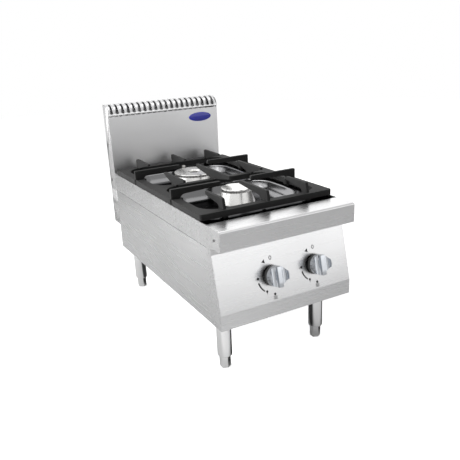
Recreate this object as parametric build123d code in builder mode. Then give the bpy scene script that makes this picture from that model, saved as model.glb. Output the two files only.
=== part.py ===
from build123d import *
from math import atan2, cos, sin
import os

os.makedirs("parts", exist_ok=True)

# Gas boiling top with two burners, in millimetres.
# The origin is on the floor, under the middle of the appliance.
# X runs to the right, Y to the back and Z up.
# A distance "back" starts at the front of the hob's nosing.
# A distance "drop" goes down from the hob's top.

# Cabinet
width = 400
depth = 800
cabinet_depth = 744
hob_height = 417
overall_height = 640
body_drop = 261
sheet = 1.2
flange = 15

# Hob top
nose_drop = 52
nose_radius = 5
nose_return = 62
skirt_drop = 57
return_depth = 70
recess_depth = 5
recess_edge = 3
recess_rear_margin = 9
well_length = 330
well_width = 255
well_radius = 60
well_depth = 29
well_draft = 15
well_fillet = 8
collar_height = 5
collar_radius = 36

# Sloping control panel
panel_top_back = 47
panel_top_drop = 71
panel_bottom_back = 11
panel_bottom_drop = 220
lip_flange = 29
spindle_hole_radius = 7

# Burners
burner_back = {"front": 270, "rear": 540}
bowl_clearance = 2
bowl_wall = 6
bowl_floor = 6
bowl_drop = 80
bowl_flange_radius = 42
bowl_flange_thickness = 4
mixing_drop = 62
mixing_radius = 13
mixing_bore = 9
mixing_reach = 95
air_gap = 22
boss_thickness = 8
boss_radius = 17
boss_hole_radius = 8
arm_width = 5
arm_height = 8
port_count = 36
port_width = 2
crown_foot = 4
lift_gap = 0.3
lug_count = 3
lug_length = 4
lug_width = 5
lug_reach = 7

# Crown and cap of each burner: outer radii, heights over the hob and cap thickness
crown_base_radius = {"front": 54, "rear": 66}
crown_top_radius = {"front": 42, "rear": 62}
crown_wall = {"front": 8, "rear": 9}
crown_top = {"front": 14, "rear": 11}
cap_radius = {"front": 43, "rear": 64}
cap_thickness = 5
cap_fillet = 1.5
cap_recess_radius = 20
cap_recess_depth = 3
port_height = 4

# Injectors
injector_clearance = 0.1
injector_hex = 11
injector_shoulder = 10
injector_thread = 12
injector_tip = 8
injector_tip_radius = 3
injector_bore = 3
jet_radius = 0.6

# Pilot burners and thermocouples, placed from the burner's centre
pilot_offset = {"front": (40, 50), "rear": (-3, 74)}
pilot_stem_radius = 3
pilot_body_radius = 5
pilot_hood_radius = 6.5
pilot_hood_height = 6
pilot_top = {"front": 6, "rear": 22}
pilot_collar_radius = 9
pilot_collar_height = 3
pilot_end_drop = 62
probe_offset = {"front": (55, 34), "rear": (-60, 44)}
probe_radius = 2.5
probe_top = 2
probe_collar_radius = 5
probe_collar_height = 2
well_hole_clearance = 0.4

# Burner rails
rail_width = 30
rail_height = 20
rail_sheet = 1.5

# Knobs, measured along their own axis from the panel's face
knob_down = 86
knob_x = {"left": -40, "right": 93}
knob_gap = 6
knob_radius = 27
knob_depth = 32.6
knob_edge = 1.5
scoop_radius = 9
scoop_offset = 15.5
scoop_drop = 4

# Valves, measured inwards from the panel's face
valve_front = 11
valve_length = 43
valve_radius = 15
valve_wall = 2
valve_floor = 4
chamber_radius = 7
chamber_length = 11
plug_radius = 9
plug_clearance = 0.05
plug_length = 22
plug_end_gap = 4
plug_bore_depth = 16
cross_port_radius = 2.5
port_radius = 3
inlet_boss_radius = 8
inlet_boss_reach = 19
outlet_boss_radius = 7
outlet_boss_reach = 20
side_boss_radius = 4.5
side_boss_reach = 18
side_boss_back = 30
spindle_radius = 4
spindle_clearance = 0.05
spindle_hole_clearance = 0.3
spindle_in_knob = 18
spindle_in_plug = 10
spindle_collar_radius = 6.5
spindle_collar_thickness = 2
spindle_collar_gap = 0.3
spring_radius = 5.6
spring_wire = 0.4
spring_turns = 3
spring_seat_gap = 0.05

# Gas pipes
manifold_drop = 34
manifold_radius = 10.5
manifold_bore = 8
manifold_end = 25
stub_radius = 6
elbow_inset = 40
elbow_radius = 13.5
elbow_reach = 22
inlet_radius = 9
inlet_bore = 7
inlet_stick_out = 46
inlet_thread_radius = 10.48
inlet_thread_length = 15
inlet_nut_radius = 14
inlet_nut_length = 12
inlet_hole_clearance = 0.5
supply_radius = 4
supply_bore = 3
supply_bend = 12
rear_supply_drop = 118
rear_supply_turn = 320
rear_supply_end_run = 30
front_supply_rise = 70
pilot_tube_radius = 2
pilot_tube_bend = 10
pilot_tube_out = 20
pilot_rise_drop = 110
pilot_turn_ahead = 53
lead_radius = 1.5
lead_bend = 10
lead_straight = 11
bracket_x = (0, 60)
bracket_thickness = 3
bracket_width = 30
bracket_foot = 15
bracket_clearance = 0.2

# Inner sheets
shield_back = 106
shield_gap = 1.5
shield_hole_clearance = 2
slot_length = 50
slot_width = 8
slot_pitch_x = 62
slot_pitch_y = 60
slot_columns = 4
slot_rows = 9
vent_width = 56
vent_height = 60
vent_drop = 115
vent_pitch = 70
vent_count = 5

# Legs and feet
leg_inset = 50
leg_back = {"front": 97, "rear": 720}
leg_radius = 20
leg_wall = 1.5
leg_chamfer = 3
leg_plug = 20
foot_height = 34
foot_gap = 0.3
foot_radius = 15
foot_flat = 27
foot_chamfer = 2
stem_radius = 6
stem_clearance = 0.1
stem_length = 60
plate_size = 66
plate_shift = {"front": 0, "rear": -11}
plate_thickness = 3
bolt_pitch = 52
bolt_radius = 3
bolt_head_radius = 5
bolt_head_height = 4
bolt_clearance = 0.2
nut_height = 5

# Flue
duct_drop = 180
cover_gap = 3
cover_radius = 34
cover_slot_count = 20
cover_slot_pitch = 19.6
cover_slot_width = 7
cover_slot_start = 5
cover_slot_margin = 13
badge_height = 157
badge_width = 86
badge_margin = 26
badge_tall = 31
badge_thickness = 1

# Pan support, one casting
frame_front = 95
frame_rear = 715
frame_lift = 1
frame_thickness = 16
frame_side = 25
frame_end = 22
frame_corner = 6
opening_radius = 50
crossbar_width = 20
grate_height = 44
finger_thickness = 9
finger_reach = 152
finger_root_drop = 16
finger_tip_drop = 11
finger_tip_chamfer = 4
finger_arch = 20
root_lug_width = 18
root_lug_reach = 9
fin_thickness = 8
fin_x = 127
front_fin_end = {"side": 200, "middle": 244}
front_fin_start = {"side": 103, "middle": 98}
front_fin_slant = 6
front_fin_arch_start = 125
front_fin_tip_drop = 9
middle_fin_front = {"side": 335, "middle": 300}
middle_fin_rear = {"side": 475, "middle": 515}
middle_fin_tip_drop = {"side": 6, "middle": 10}
middle_fin_apex_drop = 25
stem_width = 22
rear_fin_start = 606
rear_fin_end = 712
rear_fin_root = 692
rear_fin_tip_drop = 5
foot_pad_length = 16
foot_pad_width = 9
foot_pad_inset = 4
edge_chamfer = 1.5

# Small screws in the sides and under the base
screw_radius = 2
screw_head_radius = 3.5
screw_head_height = 1.8
screw_length = 8
screw_clearance = 0.1
nose_screw = (28, 28)
flue_screw = (783, 30)
base_screw_inset = 8
base_screw_backs = (200, 400, 600)

# Sizes that follow from the others
tilt = atan2(panel_top_back - panel_bottom_back, panel_bottom_drop - panel_top_drop)
knob_back = panel_top_back - knob_down * sin(tilt)
knob_drop = panel_top_drop + knob_down * cos(tilt)
knob_front = knob_gap + knob_depth
knob_reach = (
    (knob_front - knob_edge) * cos(tilt)
    + (knob_radius - knob_edge) * sin(tilt)
    + knob_edge
    - knob_back
)
front_y = knob_reach - (depth + knob_reach) / 2
flue_top = overall_height - hob_height
cover_start = flue_top - cover_radius
splash_height = cover_start - cover_gap
well_floor = recess_depth + well_depth
bowl_radius = collar_radius - bowl_clearance
bowl_bore = bowl_radius - bowl_wall
bowl_top = well_floor - collar_height - bowl_flange_thickness
recess_rear = cabinet_depth - recess_rear_margin
base_top = body_drop - 2 * sheet
valve_back = valve_front + valve_length
port_back = valve_back - valve_floor - plug_end_gap - (plug_length - plug_bore_depth) / 2
inner_width = width - 2 * sheet
badge_x = (width - badge_width) / 2 - badge_margin
elbow_x = width / 2 - elbow_inset
burners = ("front", "rear")
valve_of = {"front": "right", "rear": "left"}
valve_side = {"left": -1, "right": 1}


def back(distance):
    """Y of a point so far behind the front of the nosing."""
    return front_y + distance


def level(drop):
    """Z of a point so far below the top of the hob."""
    return hob_height - drop


def control_point(x, inwards=0, upwards=0):
    """A point measured along a knob's axis and up the sloping panel."""
    return (
        x,
        back(knob_back + inwards * cos(tilt) + upwards * sin(tilt)),
        level(knob_drop + inwards * sin(tilt) - upwards * cos(tilt)),
    )


def control_plane(x, inwards=0):
    """A plane parallel to the panel, facing outwards."""
    return Plane(origin=control_point(x, inwards), x_dir=(1, 0, 0), z_dir=(0, -cos(tilt), sin(tilt)))


def riser_plane(x, inwards, upwards):
    """A plane across the panel's slope, facing up along it."""
    return Plane(
        origin=control_point(x, inwards, upwards), x_dir=(1, 0, 0), z_dir=(0, sin(tilt), cos(tilt))
    )


def floor_plane(drop, x=0, distance=0):
    """A horizontal plane with its origin on a given point."""
    return Plane((x, back(distance), level(drop)))


def section_plane(distance):
    """A plane across the appliance, X to the right and height over the hob upwards."""
    return Plane((0, back(distance), hob_height), x_dir=(1, 0, 0), z_dir=(0, -1, 0))


def facing_back(x, distance, drop):
    """A plane facing the back, for pieces whose axis runs from front to back."""
    return Plane((x, back(distance), level(drop)), x_dir=(1, 0, 0), z_dir=(0, 1, 0))


def facing_right(x, distance, drop):
    """A plane facing right, for pieces whose axis runs from side to side."""
    return Plane((x, back(distance), level(drop)), x_dir=(0, 1, 0), z_dir=(1, 0, 0))


def upright_axis(x, distance):
    return Axis((x, back(distance), 0), (0, 0, 1))


manifold_back = knob_back + port_back * cos(tilt) - manifold_drop * sin(tilt)
inlet_drop = knob_drop + port_back * sin(tilt) + manifold_drop * cos(tilt)
pilot_level_drop = knob_drop + side_boss_back * sin(tilt)
lead_level_drop = knob_drop + (valve_back + lead_straight) * sin(tilt)

side_length = cabinet_depth - return_depth
side_middle = (cabinet_depth + return_depth) / 2
leg_places = {}
for end in ("front", "rear"):
    for side_name, side in valve_side.items():
        leg_places[end, side_name] = (side * (width / 2 - leg_inset), leg_back[end])
bolt_offset = bolt_pitch / 2
bolt_places = [
    (x + dx, distance + plate_shift[end] + dy)
    for (end, side_name), (x, distance) in leg_places.items()
    for dx in (-bolt_offset, bolt_offset)
    for dy in (-bolt_offset, bolt_offset)
]
base_screw_places = [
    (side * (width / 2 - base_screw_inset), distance)
    for side in valve_side.values()
    for distance in base_screw_backs
]

# Hob top: folded sheet with a rounded nosing, a shallow recess and two wells
with BuildPart() as hob_top:
    with BuildSketch(Plane.YZ.offset(-width / 2)):
        with BuildLine():
            Polyline(
                (back(0), level(nose_drop)),
                (back(0), level(0)),
                (back(cabinet_depth), level(0)),
                (back(cabinet_depth), level(skirt_drop)),
                (back(return_depth), level(skirt_drop)),
                (back(return_depth), level(nose_drop)),
                close=True,
            )
        make_face()
    extrude(amount=width)
    fillet(
        hob_top.edges().filter_by(Axis.X).sort_by_distance((0, back(0), level(0)))[0],
        nose_radius,
    )
    with BuildSketch(Plane.YZ.offset(-inner_width / 2)):
        with BuildLine():
            Polyline(
                (back(sheet), level(nose_drop - sheet)),
                (back(sheet), level(sheet)),
                (back(cabinet_depth - sheet), level(sheet)),
                (back(cabinet_depth - sheet), level(skirt_drop + sheet)),
                (back(nose_return), level(skirt_drop + sheet)),
                (back(nose_return), level(nose_drop - sheet)),
                close=True,
            )
        make_face()
        inner_corner = vertices().sort_by_distance((back(sheet), level(sheet)))[0]
        fillet(inner_corner, nose_radius - sheet)
    extrude(amount=inner_width, mode=Mode.SUBTRACT)
    recess_middle = (return_depth + recess_rear) / 2
    recess_length = recess_rear - return_depth
    with BuildSketch(floor_plane(recess_depth + sheet, 0, recess_middle)):
        Rectangle(inner_width, recess_length + 2 * sheet)
    extrude(amount=recess_depth)
    with BuildSketch(floor_plane(recess_depth, 0, recess_middle)):
        Rectangle(width - 2 * recess_edge, recess_length)
    extrude(amount=recess_depth, mode=Mode.SUBTRACT)
    for burner in burners:
        with BuildSketch(floor_plane(recess_depth, 0, burner_back[burner])):
            RectangleRounded(well_length + 2 * sheet, well_width + 2 * sheet, well_radius + sheet)
        extrude(amount=-well_depth - sheet, taper=well_draft)
        with BuildSketch(floor_plane(recess_depth, 0, burner_back[burner])):
            RectangleRounded(well_length, well_width, well_radius)
        extrude(amount=-well_depth, taper=well_draft, mode=Mode.SUBTRACT)
        fillet(edges(Select.LAST).group_by(Axis.Z)[0], well_fillet)
        with BuildSketch(floor_plane(well_floor + sheet, 0, burner_back[burner])):
            Circle(collar_radius + sheet)
        extrude(amount=collar_height + sheet)
        with BuildSketch(floor_plane(well_floor + sheet, 0, burner_back[burner])):
            Circle(collar_radius)
            with Locations(pilot_offset[burner]):
                Circle(pilot_stem_radius + well_hole_clearance)
            with Locations(probe_offset[burner]):
                Circle(probe_radius + well_hole_clearance)
        extrude(amount=collar_height + sheet, mode=Mode.SUBTRACT)
    with BuildSketch(facing_right(-width / 2, *nose_screw)):
        Circle(screw_radius + screw_clearance)
    extrude(amount=width, mode=Mode.SUBTRACT)
hob_top.part.label = "hob_top"
export_step(hob_top.part, "parts/hob_top.step")

# Cabinet sides: sheets with a flange turned in at the top and bottom
for side_name, side in valve_side.items():
    with BuildPart() as side_panel:
        with BuildSketch(floor_plane(body_drop, side * (width - sheet) / 2, side_middle)):
            Rectangle(sheet, side_length)
        extrude(amount=body_drop - skirt_drop)
        for drop in (body_drop, skirt_drop + sheet):
            with BuildSketch(floor_plane(drop, side * (width - flange) / 2, side_middle)):
                Rectangle(flange, side_length)
            extrude(amount=sheet)
        for distance in base_screw_backs:
            screw_x = side * (width / 2 - base_screw_inset)
            with BuildSketch(floor_plane(body_drop, screw_x, distance)):
                Circle(screw_radius + screw_clearance)
            extrude(amount=sheet, mode=Mode.SUBTRACT)
    side_panel.part.label = f"{side_name}_side_panel"
    export_step(side_panel.part, f"parts/{side_name}_side_panel.step")

# Front panel: sloping face, straight lip, side returns and two flanges
with BuildPart() as front_panel:
    with BuildSketch(Plane.YZ.offset(-width / 2)):
        with BuildLine():
            Polyline(
                (back(panel_top_back), level(nose_drop)),
                (back(return_depth), level(nose_drop)),
                (back(return_depth), level(body_drop)),
                (back(panel_bottom_back), level(body_drop)),
                (back(panel_bottom_back), level(panel_bottom_drop)),
                (back(panel_top_back), level(panel_top_drop)),
                close=True,
            )
        make_face()
    extrude(amount=width)
    with BuildSketch(Plane.YZ.offset(-inner_width / 2)):
        with BuildLine():
            Polyline(
                (back(panel_top_back), level(nose_drop)),
                (back(return_depth), level(nose_drop)),
                (back(return_depth), level(body_drop)),
                (back(panel_bottom_back), level(body_drop)),
                (back(panel_bottom_back), level(panel_bottom_drop)),
                (back(panel_top_back), level(panel_top_drop)),
                close=True,
            )
        make_face()
        offset(amount=-sheet, kind=Kind.INTERSECTION)
        with Locations((back(return_depth), level((nose_drop + body_drop) / 2))):
            Rectangle(2 * flange, body_drop - nose_drop - 2 * sheet)
    extrude(amount=inner_width, mode=Mode.SUBTRACT)
    lip_gap = return_depth - panel_bottom_back - lip_flange
    with BuildSketch(floor_plane(body_drop, 0, return_depth - lip_gap / 2)):
        Rectangle(inner_width, lip_gap)
    extrude(amount=sheet, mode=Mode.SUBTRACT)
    top_gap = return_depth - nose_return
    with BuildSketch(floor_plane(nose_drop + sheet, 0, return_depth - top_gap / 2)):
        Rectangle(inner_width, top_gap)
    extrude(amount=sheet, mode=Mode.SUBTRACT)
    for x in knob_x.values():
        with BuildSketch(control_plane(x, 2 * sheet)):
            Circle(spindle_hole_radius)
        extrude(amount=3 * sheet, mode=Mode.SUBTRACT)
front_panel.part.label = "front_panel"
export_step(front_panel.part, "parts/front_panel.step")

# Base panel: lies on the flanges, with air slots and bolt holes
base_depth = cabinet_depth - 2 * sheet - panel_bottom_back
base_middle = panel_bottom_back + sheet + base_depth / 2
with BuildPart() as base_panel:
    with BuildSketch(floor_plane(body_drop - sheet, 0, base_middle)):
        Rectangle(inner_width, base_depth)
        with GridLocations(slot_pitch_x, slot_pitch_y, slot_columns, slot_rows):
            SlotOverall(slot_length, slot_width, mode=Mode.SUBTRACT)
        with Locations([(x, distance - base_middle) for x, distance in bolt_places]):
            Circle(bolt_radius + bolt_clearance, mode=Mode.SUBTRACT)
        with Locations([(x, distance - base_middle) for x, distance in base_screw_places]):
            Circle(screw_radius + screw_clearance, mode=Mode.SUBTRACT)
    extrude(amount=sheet)
base_panel.part.label = "base_panel"
export_step(base_panel.part, "parts/base_panel.step")

# Rear panel: closes the cabinet, with vents into the flue and the inlet's hole
with BuildPart() as rear_panel:
    with BuildSketch(facing_back(0, cabinet_depth - sheet, body_drop - sheet)):
        panel_height = body_drop - skirt_drop - 2 * sheet
        with Locations((0, -panel_height / 2)):
            Rectangle(inner_width, panel_height)
        with Locations((0, vent_drop - body_drop + sheet)):
            with GridLocations(vent_pitch, vent_height, vent_count, 1):
                Rectangle(vent_width, vent_height, mode=Mode.SUBTRACT)
        with Locations((elbow_x, inlet_drop - body_drop + sheet)):
            Circle(inlet_radius + inlet_hole_clearance, mode=Mode.SUBTRACT)
    extrude(amount=sheet)
rear_panel.part.label = "rear_panel"
export_step(rear_panel.part, "parts/rear_panel.step")

# Heat shield between the controls and the burners
shield_top = recess_depth + sheet + shield_gap
shield_holes = [
    (0, mixing_drop, supply_radius),
    (knob_x["left"], rear_supply_drop, supply_radius),
    (elbow_x, inlet_drop, inlet_radius),
]
for side_name, side in valve_side.items():
    tube_x = knob_x[side_name] + side * (side_boss_reach + pilot_tube_out)
    shield_holes.append((tube_x, pilot_level_drop, pilot_tube_radius))
    shield_holes.append((knob_x[side_name], lead_level_drop, lead_radius))
with BuildPart() as heat_shield:
    shield_width = inner_width - 2 * flange - 2 * shield_gap
    shield_height = base_top - shield_top
    with BuildSketch(section_plane(shield_back)):
        with Locations((0, -(base_top + shield_top) / 2)):
            Rectangle(shield_width, shield_height)
        for x, drop, radius in shield_holes:
            with Locations((x, -drop)):
                Circle(radius + shield_hole_clearance, mode=Mode.SUBTRACT)
    extrude(amount=-sheet)
    with BuildSketch(floor_plane(base_top, 0, shield_back - flange / 2)):
        Rectangle(shield_width, flange)
    extrude(amount=sheet)
heat_shield.part.label = "heat_shield"
export_step(heat_shield.part, "parts/heat_shield.step")

# Burner parts, once for each burner
for burner in burners:
    centre = burner_back[burner]
    valve_x = knob_x[valve_of[burner]]
    side = valve_side[valve_of[burner]]

    # Rail: a channel from side to side under the burner
    with BuildPart() as burner_rail:
        with BuildSketch(floor_plane(bowl_drop + rail_height, 0, centre)):
            Rectangle(inner_width, rail_width)
        extrude(amount=rail_height)
        with BuildSketch(floor_plane(bowl_drop + rail_height, 0, centre)):
            Rectangle(inner_width, rail_width - 2 * rail_sheet)
        extrude(amount=rail_height - rail_sheet, mode=Mode.SUBTRACT)
    burner_rail.part.label = f"{burner}_burner_rail"
    export_step(burner_rail.part, f"parts/{burner}_burner_rail.step")

    # Base: bowl, mixing tube and injector boss in one casting
    mixing_end = centre - mixing_reach
    boss_back = mixing_end - air_gap
    with BuildPart() as burner_base:
        with BuildSketch(floor_plane(bowl_drop, 0, centre)):
            Circle(bowl_radius)
        extrude(amount=bowl_drop - bowl_top)
        with BuildSketch(floor_plane(bowl_top, 0, centre)):
            Circle(bowl_flange_radius)
        extrude(amount=-bowl_flange_thickness)
        with BuildSketch(facing_back(0, mixing_end, mixing_drop)):
            Circle(mixing_radius)
        extrude(amount=mixing_reach)
        with BuildSketch(facing_back(0, boss_back - boss_thickness, mixing_drop)):
            Circle(boss_radius)
        extrude(amount=boss_thickness)
        with BuildSketch(facing_back(0, boss_back - boss_thickness, mixing_drop)):
            with Locations((-boss_radius + arm_width, 0), (boss_radius - arm_width, 0)):
                Rectangle(arm_width, arm_height)
        extrude(amount=boss_thickness + air_gap + mixing_reach - bowl_bore)
        with BuildSketch(facing_back(0, boss_back - boss_thickness, mixing_drop)):
            Circle(boss_hole_radius)
        extrude(amount=boss_thickness, mode=Mode.SUBTRACT)
        with BuildSketch(facing_back(0, mixing_end, mixing_drop)):
            Circle(mixing_bore)
        extrude(amount=mixing_reach, mode=Mode.SUBTRACT)
        with BuildSketch(floor_plane(bowl_top, 0, centre)):
            Circle(bowl_bore)
        extrude(amount=bowl_top - bowl_drop + bowl_floor, mode=Mode.SUBTRACT)
    burner_base.part.label = f"{burner}_burner_base"
    export_step(burner_base.part, f"parts/{burner}_burner_base.step")

    # Crown: a cone with a bore in the middle and flame ports around its rim
    top = crown_top[burner]
    rim = crown_top_radius[burner]
    with BuildPart() as burner_crown:
        with BuildSketch(section_plane(centre)):
            with BuildLine():
                Polyline(
                    (bowl_bore, -bowl_top),
                    (crown_base_radius[burner], -bowl_top),
                    (crown_base_radius[burner], -bowl_top + crown_foot),
                    (rim, top - port_height),
                    (rim, top),
                    (rim - crown_wall[burner], top),
                    (bowl_bore, top - port_height),
                    close=True,
                )
            make_face()
        revolve(axis=upright_axis(0, centre))
        with BuildSketch(floor_plane(port_height - top, 0, centre)):
            with PolarLocations(rim, port_count):
                Rectangle(2 * crown_wall[burner] + 1, port_width)
        extrude(amount=port_height, mode=Mode.SUBTRACT)
    burner_crown.part.label = f"{burner}_burner_crown"
    export_step(burner_crown.part, f"parts/{burner}_burner_crown.step")

    # Cap: a lift-off lid with three lugs that centre it in the crown
    cap_seat = top + lift_gap
    lug_outer = bowl_bore - lift_gap
    with BuildPart() as burner_cap:
        with BuildSketch(floor_plane(-cap_seat, 0, centre)):
            Circle(cap_radius[burner])
        extrude(amount=cap_thickness)
        fillet(burner_cap.faces().sort_by(Axis.Z)[-1].edges(), cap_fillet)
        with BuildSketch(floor_plane(-cap_seat, 0, centre)):
            with PolarLocations(lug_outer - lug_length / 2, lug_count):
                Rectangle(lug_length, lug_width)
        extrude(amount=-lug_reach)
        if burner == "rear":
            with BuildSketch(floor_plane(-cap_seat - cap_thickness, 0, centre)):
                Circle(cap_recess_radius)
            extrude(amount=-cap_recess_depth, mode=Mode.SUBTRACT)
    burner_cap.part.label = f"{burner}_burner_cap"
    export_step(burner_cap.part, f"parts/{burner}_burner_cap.step")

    # Injector: a brass jet screwed into the boss
    shoulder_back = boss_back - boss_thickness
    thread_radius = boss_hole_radius - injector_clearance
    with BuildPart() as injector:
        with BuildSketch(facing_back(0, shoulder_back - injector_shoulder, mixing_drop)):
            RegularPolygon(injector_hex, 6)
        extrude(amount=injector_shoulder)
        with BuildSketch(facing_back(0, shoulder_back, mixing_drop)):
            Circle(thread_radius)
        extrude(amount=injector_thread)
        with BuildSketch(facing_back(0, shoulder_back + injector_thread, mixing_drop)):
            Circle(thread_radius)
        with BuildSketch(facing_back(0, shoulder_back + injector_thread + injector_tip, mixing_drop)):
            Circle(injector_tip_radius)
        loft()
        with BuildSketch(facing_back(0, shoulder_back - injector_shoulder, mixing_drop)):
            Circle(injector_bore)
        extrude(amount=injector_shoulder + injector_thread, mode=Mode.SUBTRACT)
        with BuildSketch(facing_back(0, shoulder_back, mixing_drop)):
            Circle(jet_radius)
        extrude(amount=injector_thread + injector_tip, mode=Mode.SUBTRACT)
    injector.part.label = f"{burner}_injector"
    export_step(injector.part, f"parts/{burner}_injector.step")

    # Supply tube from the valve's outlet to the injector
    injector_inlet = shoulder_back - injector_shoulder
    outlet = control_point(valve_x, port_back, outlet_boss_reach)
    if burner == "front":
        rise = control_point(valve_x, port_back, front_supply_rise)
        supply_points = [
            outlet,
            rise,
            (0, rise[1], level(mixing_drop)),
            (0, back(injector_inlet), level(mixing_drop)),
        ]
    else:
        up = (level(rear_supply_drop) - outlet[2]) / cos(tilt)
        supply_points = [
            outlet,
            control_point(valve_x, port_back, outlet_boss_reach + up),
            (valve_x, back(rear_supply_turn), level(rear_supply_drop)),
            (0, back(injector_inlet - rear_supply_end_run), level(mixing_drop)),
            (0, back(injector_inlet), level(mixing_drop)),
        ]
    with BuildPart() as supply_tube:
        with BuildLine():
            FilletPolyline(*supply_points, radius=supply_bend)
        with BuildSketch(riser_plane(valve_x, port_back, outlet_boss_reach)):
            Circle(supply_radius)
            Circle(supply_bore, mode=Mode.SUBTRACT)
        sweep()
    supply_tube.part.label = f"{burner}_supply_tube"
    export_step(supply_tube.part, f"parts/{burner}_supply_tube.step")

    # Pilot burner, seated on the well's floor
    pilot_x, pilot_y = pilot_offset[burner]
    pilot_back = centre + pilot_y
    with BuildPart() as pilot_burner:
        with BuildSketch(floor_plane(pilot_end_drop, pilot_x, pilot_back)):
            Circle(pilot_stem_radius)
        extrude(amount=pilot_end_drop - well_floor)
        with BuildSketch(floor_plane(well_floor, pilot_x, pilot_back)):
            RegularPolygon(pilot_collar_radius, 6)
        extrude(amount=pilot_collar_height)
        with BuildSketch(floor_plane(well_floor, pilot_x, pilot_back)):
            Circle(pilot_body_radius)
        extrude(amount=well_floor + pilot_top[burner])
        with BuildSketch(floor_plane(pilot_hood_height - pilot_top[burner], pilot_x, pilot_back)):
            Circle(pilot_hood_radius)
        extrude(amount=pilot_hood_height)
        chamfer(pilot_burner.faces().sort_by(Axis.Z)[-1].edges(), 1)
    pilot_burner.part.label = f"{burner}_pilot_burner"
    export_step(pilot_burner.part, f"parts/{burner}_pilot_burner.step")

    # Pilot tube from the valve's side outlet
    pilot_start = control_point(valve_x + side * side_boss_reach, side_boss_back)
    tube_x = pilot_start[0] + side * pilot_tube_out
    pilot_points = [
        pilot_start,
        (tube_x, pilot_start[1], pilot_start[2]),
        (tube_x, back(pilot_back - pilot_turn_ahead), pilot_start[2]),
        (pilot_x, back(pilot_back), level(pilot_rise_drop)),
        (pilot_x, back(pilot_back), level(pilot_end_drop)),
    ]
    with BuildPart() as pilot_tube:
        with BuildLine():
            FilletPolyline(*pilot_points, radius=pilot_tube_bend)
        with BuildSketch(Plane(pilot_start, x_dir=(0, 1, 0), z_dir=(1, 0, 0))):
            Circle(pilot_tube_radius)
        sweep()
    pilot_tube.part.label = f"{burner}_pilot_tube"
    export_step(pilot_tube.part, f"parts/{burner}_pilot_tube.step")

    # Thermocouple: probe in the well and its lead back to the valve's end
    probe_x, probe_y = probe_offset[burner]
    probe_back = centre + probe_y
    lead_points = [
        control_point(valve_x, valve_back),
        control_point(valve_x, valve_back + lead_straight),
        (valve_x, back(probe_back - pilot_turn_ahead), level(lead_level_drop)),
        (probe_x, back(probe_back), level(pilot_rise_drop)),
        (probe_x, back(probe_back), level(well_floor)),
    ]
    with BuildPart() as thermocouple:
        with BuildLine():
            FilletPolyline(*lead_points, radius=lead_bend)
        with BuildSketch(control_plane(valve_x, valve_back)):
            Circle(lead_radius)
        sweep()
        with BuildSketch(floor_plane(pilot_end_drop, probe_x, probe_back)):
            Circle(probe_radius)
        extrude(amount=pilot_end_drop + probe_top)
        with BuildSketch(floor_plane(well_floor, probe_x, probe_back)):
            Circle(probe_collar_radius)
        extrude(amount=probe_collar_height)
    thermocouple.part.label = f"{burner}_thermocouple"
    export_step(thermocouple.part, f"parts/{burner}_thermocouple.step")

# Gas manifold: pipe across the front with a stub up to each valve
with BuildPart() as gas_manifold:
    manifold_start = knob_x["left"] - manifold_end
    manifold_length = elbow_x - elbow_reach - manifold_start
    with BuildSketch(facing_right(manifold_start, manifold_back, inlet_drop)):
        Circle(manifold_radius)
    extrude(amount=manifold_length)
    for x in knob_x.values():
        with BuildSketch(riser_plane(x, port_back, -manifold_drop)):
            Circle(stub_radius)
        extrude(amount=manifold_drop - inlet_boss_reach)
    with BuildSketch(facing_right(manifold_start + sheet, manifold_back, inlet_drop)):
        Circle(manifold_bore)
    extrude(amount=manifold_length - sheet, mode=Mode.SUBTRACT)
    for x in knob_x.values():
        with BuildSketch(riser_plane(x, port_back, -manifold_drop)):
            Circle(port_radius)
        extrude(amount=manifold_drop - inlet_boss_reach, mode=Mode.SUBTRACT)
gas_manifold.part.label = "gas_manifold"
export_step(gas_manifold.part, "parts/gas_manifold.step")

# Elbow between the manifold and the inlet pipe
with BuildPart() as inlet_elbow:
    with BuildSketch(facing_right(elbow_x - elbow_reach, manifold_back, inlet_drop)):
        Circle(elbow_radius)
    extrude(amount=elbow_reach)
    with BuildSketch(facing_back(elbow_x, manifold_back, inlet_drop)):
        Circle(elbow_radius)
    extrude(amount=elbow_reach)
    with Locations((elbow_x, back(manifold_back), level(inlet_drop))):
        Sphere(elbow_radius)
    with BuildSketch(facing_right(elbow_x - elbow_reach, manifold_back, inlet_drop)):
        Circle(manifold_bore)
    extrude(amount=elbow_reach, mode=Mode.SUBTRACT)
    with BuildSketch(facing_back(elbow_x, manifold_back, inlet_drop)):
        Circle(manifold_bore)
    extrude(amount=elbow_reach, mode=Mode.SUBTRACT)
inlet_elbow.part.label = "inlet_elbow"
export_step(inlet_elbow.part, "parts/inlet_elbow.step")

# Inlet pipe, out through the rear panel under the flue
with BuildPart() as inlet_pipe:
    inlet_start = manifold_back + elbow_reach
    inlet_length = cabinet_depth + inlet_stick_out - inlet_start
    inlet_end = inlet_start + inlet_length
    thread_start = inlet_end - inlet_thread_length
    with BuildSketch(facing_back(elbow_x, inlet_start, inlet_drop)):
        Circle(inlet_radius)
    extrude(amount=inlet_length)
    with BuildSketch(facing_back(elbow_x, thread_start - inlet_nut_length, inlet_drop)):
        RegularPolygon(inlet_nut_radius, 6)
    extrude(amount=inlet_nut_length)
    with BuildSketch(facing_back(elbow_x, thread_start, inlet_drop)):
        Circle(inlet_thread_radius)
    extrude(amount=inlet_thread_length)
    with BuildSketch(facing_back(elbow_x, inlet_start, inlet_drop)):
        Circle(inlet_bore)
    extrude(amount=inlet_length, mode=Mode.SUBTRACT)
inlet_pipe.part.label = "inlet_pipe"
export_step(inlet_pipe.part, "parts/inlet_pipe.step")

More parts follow.
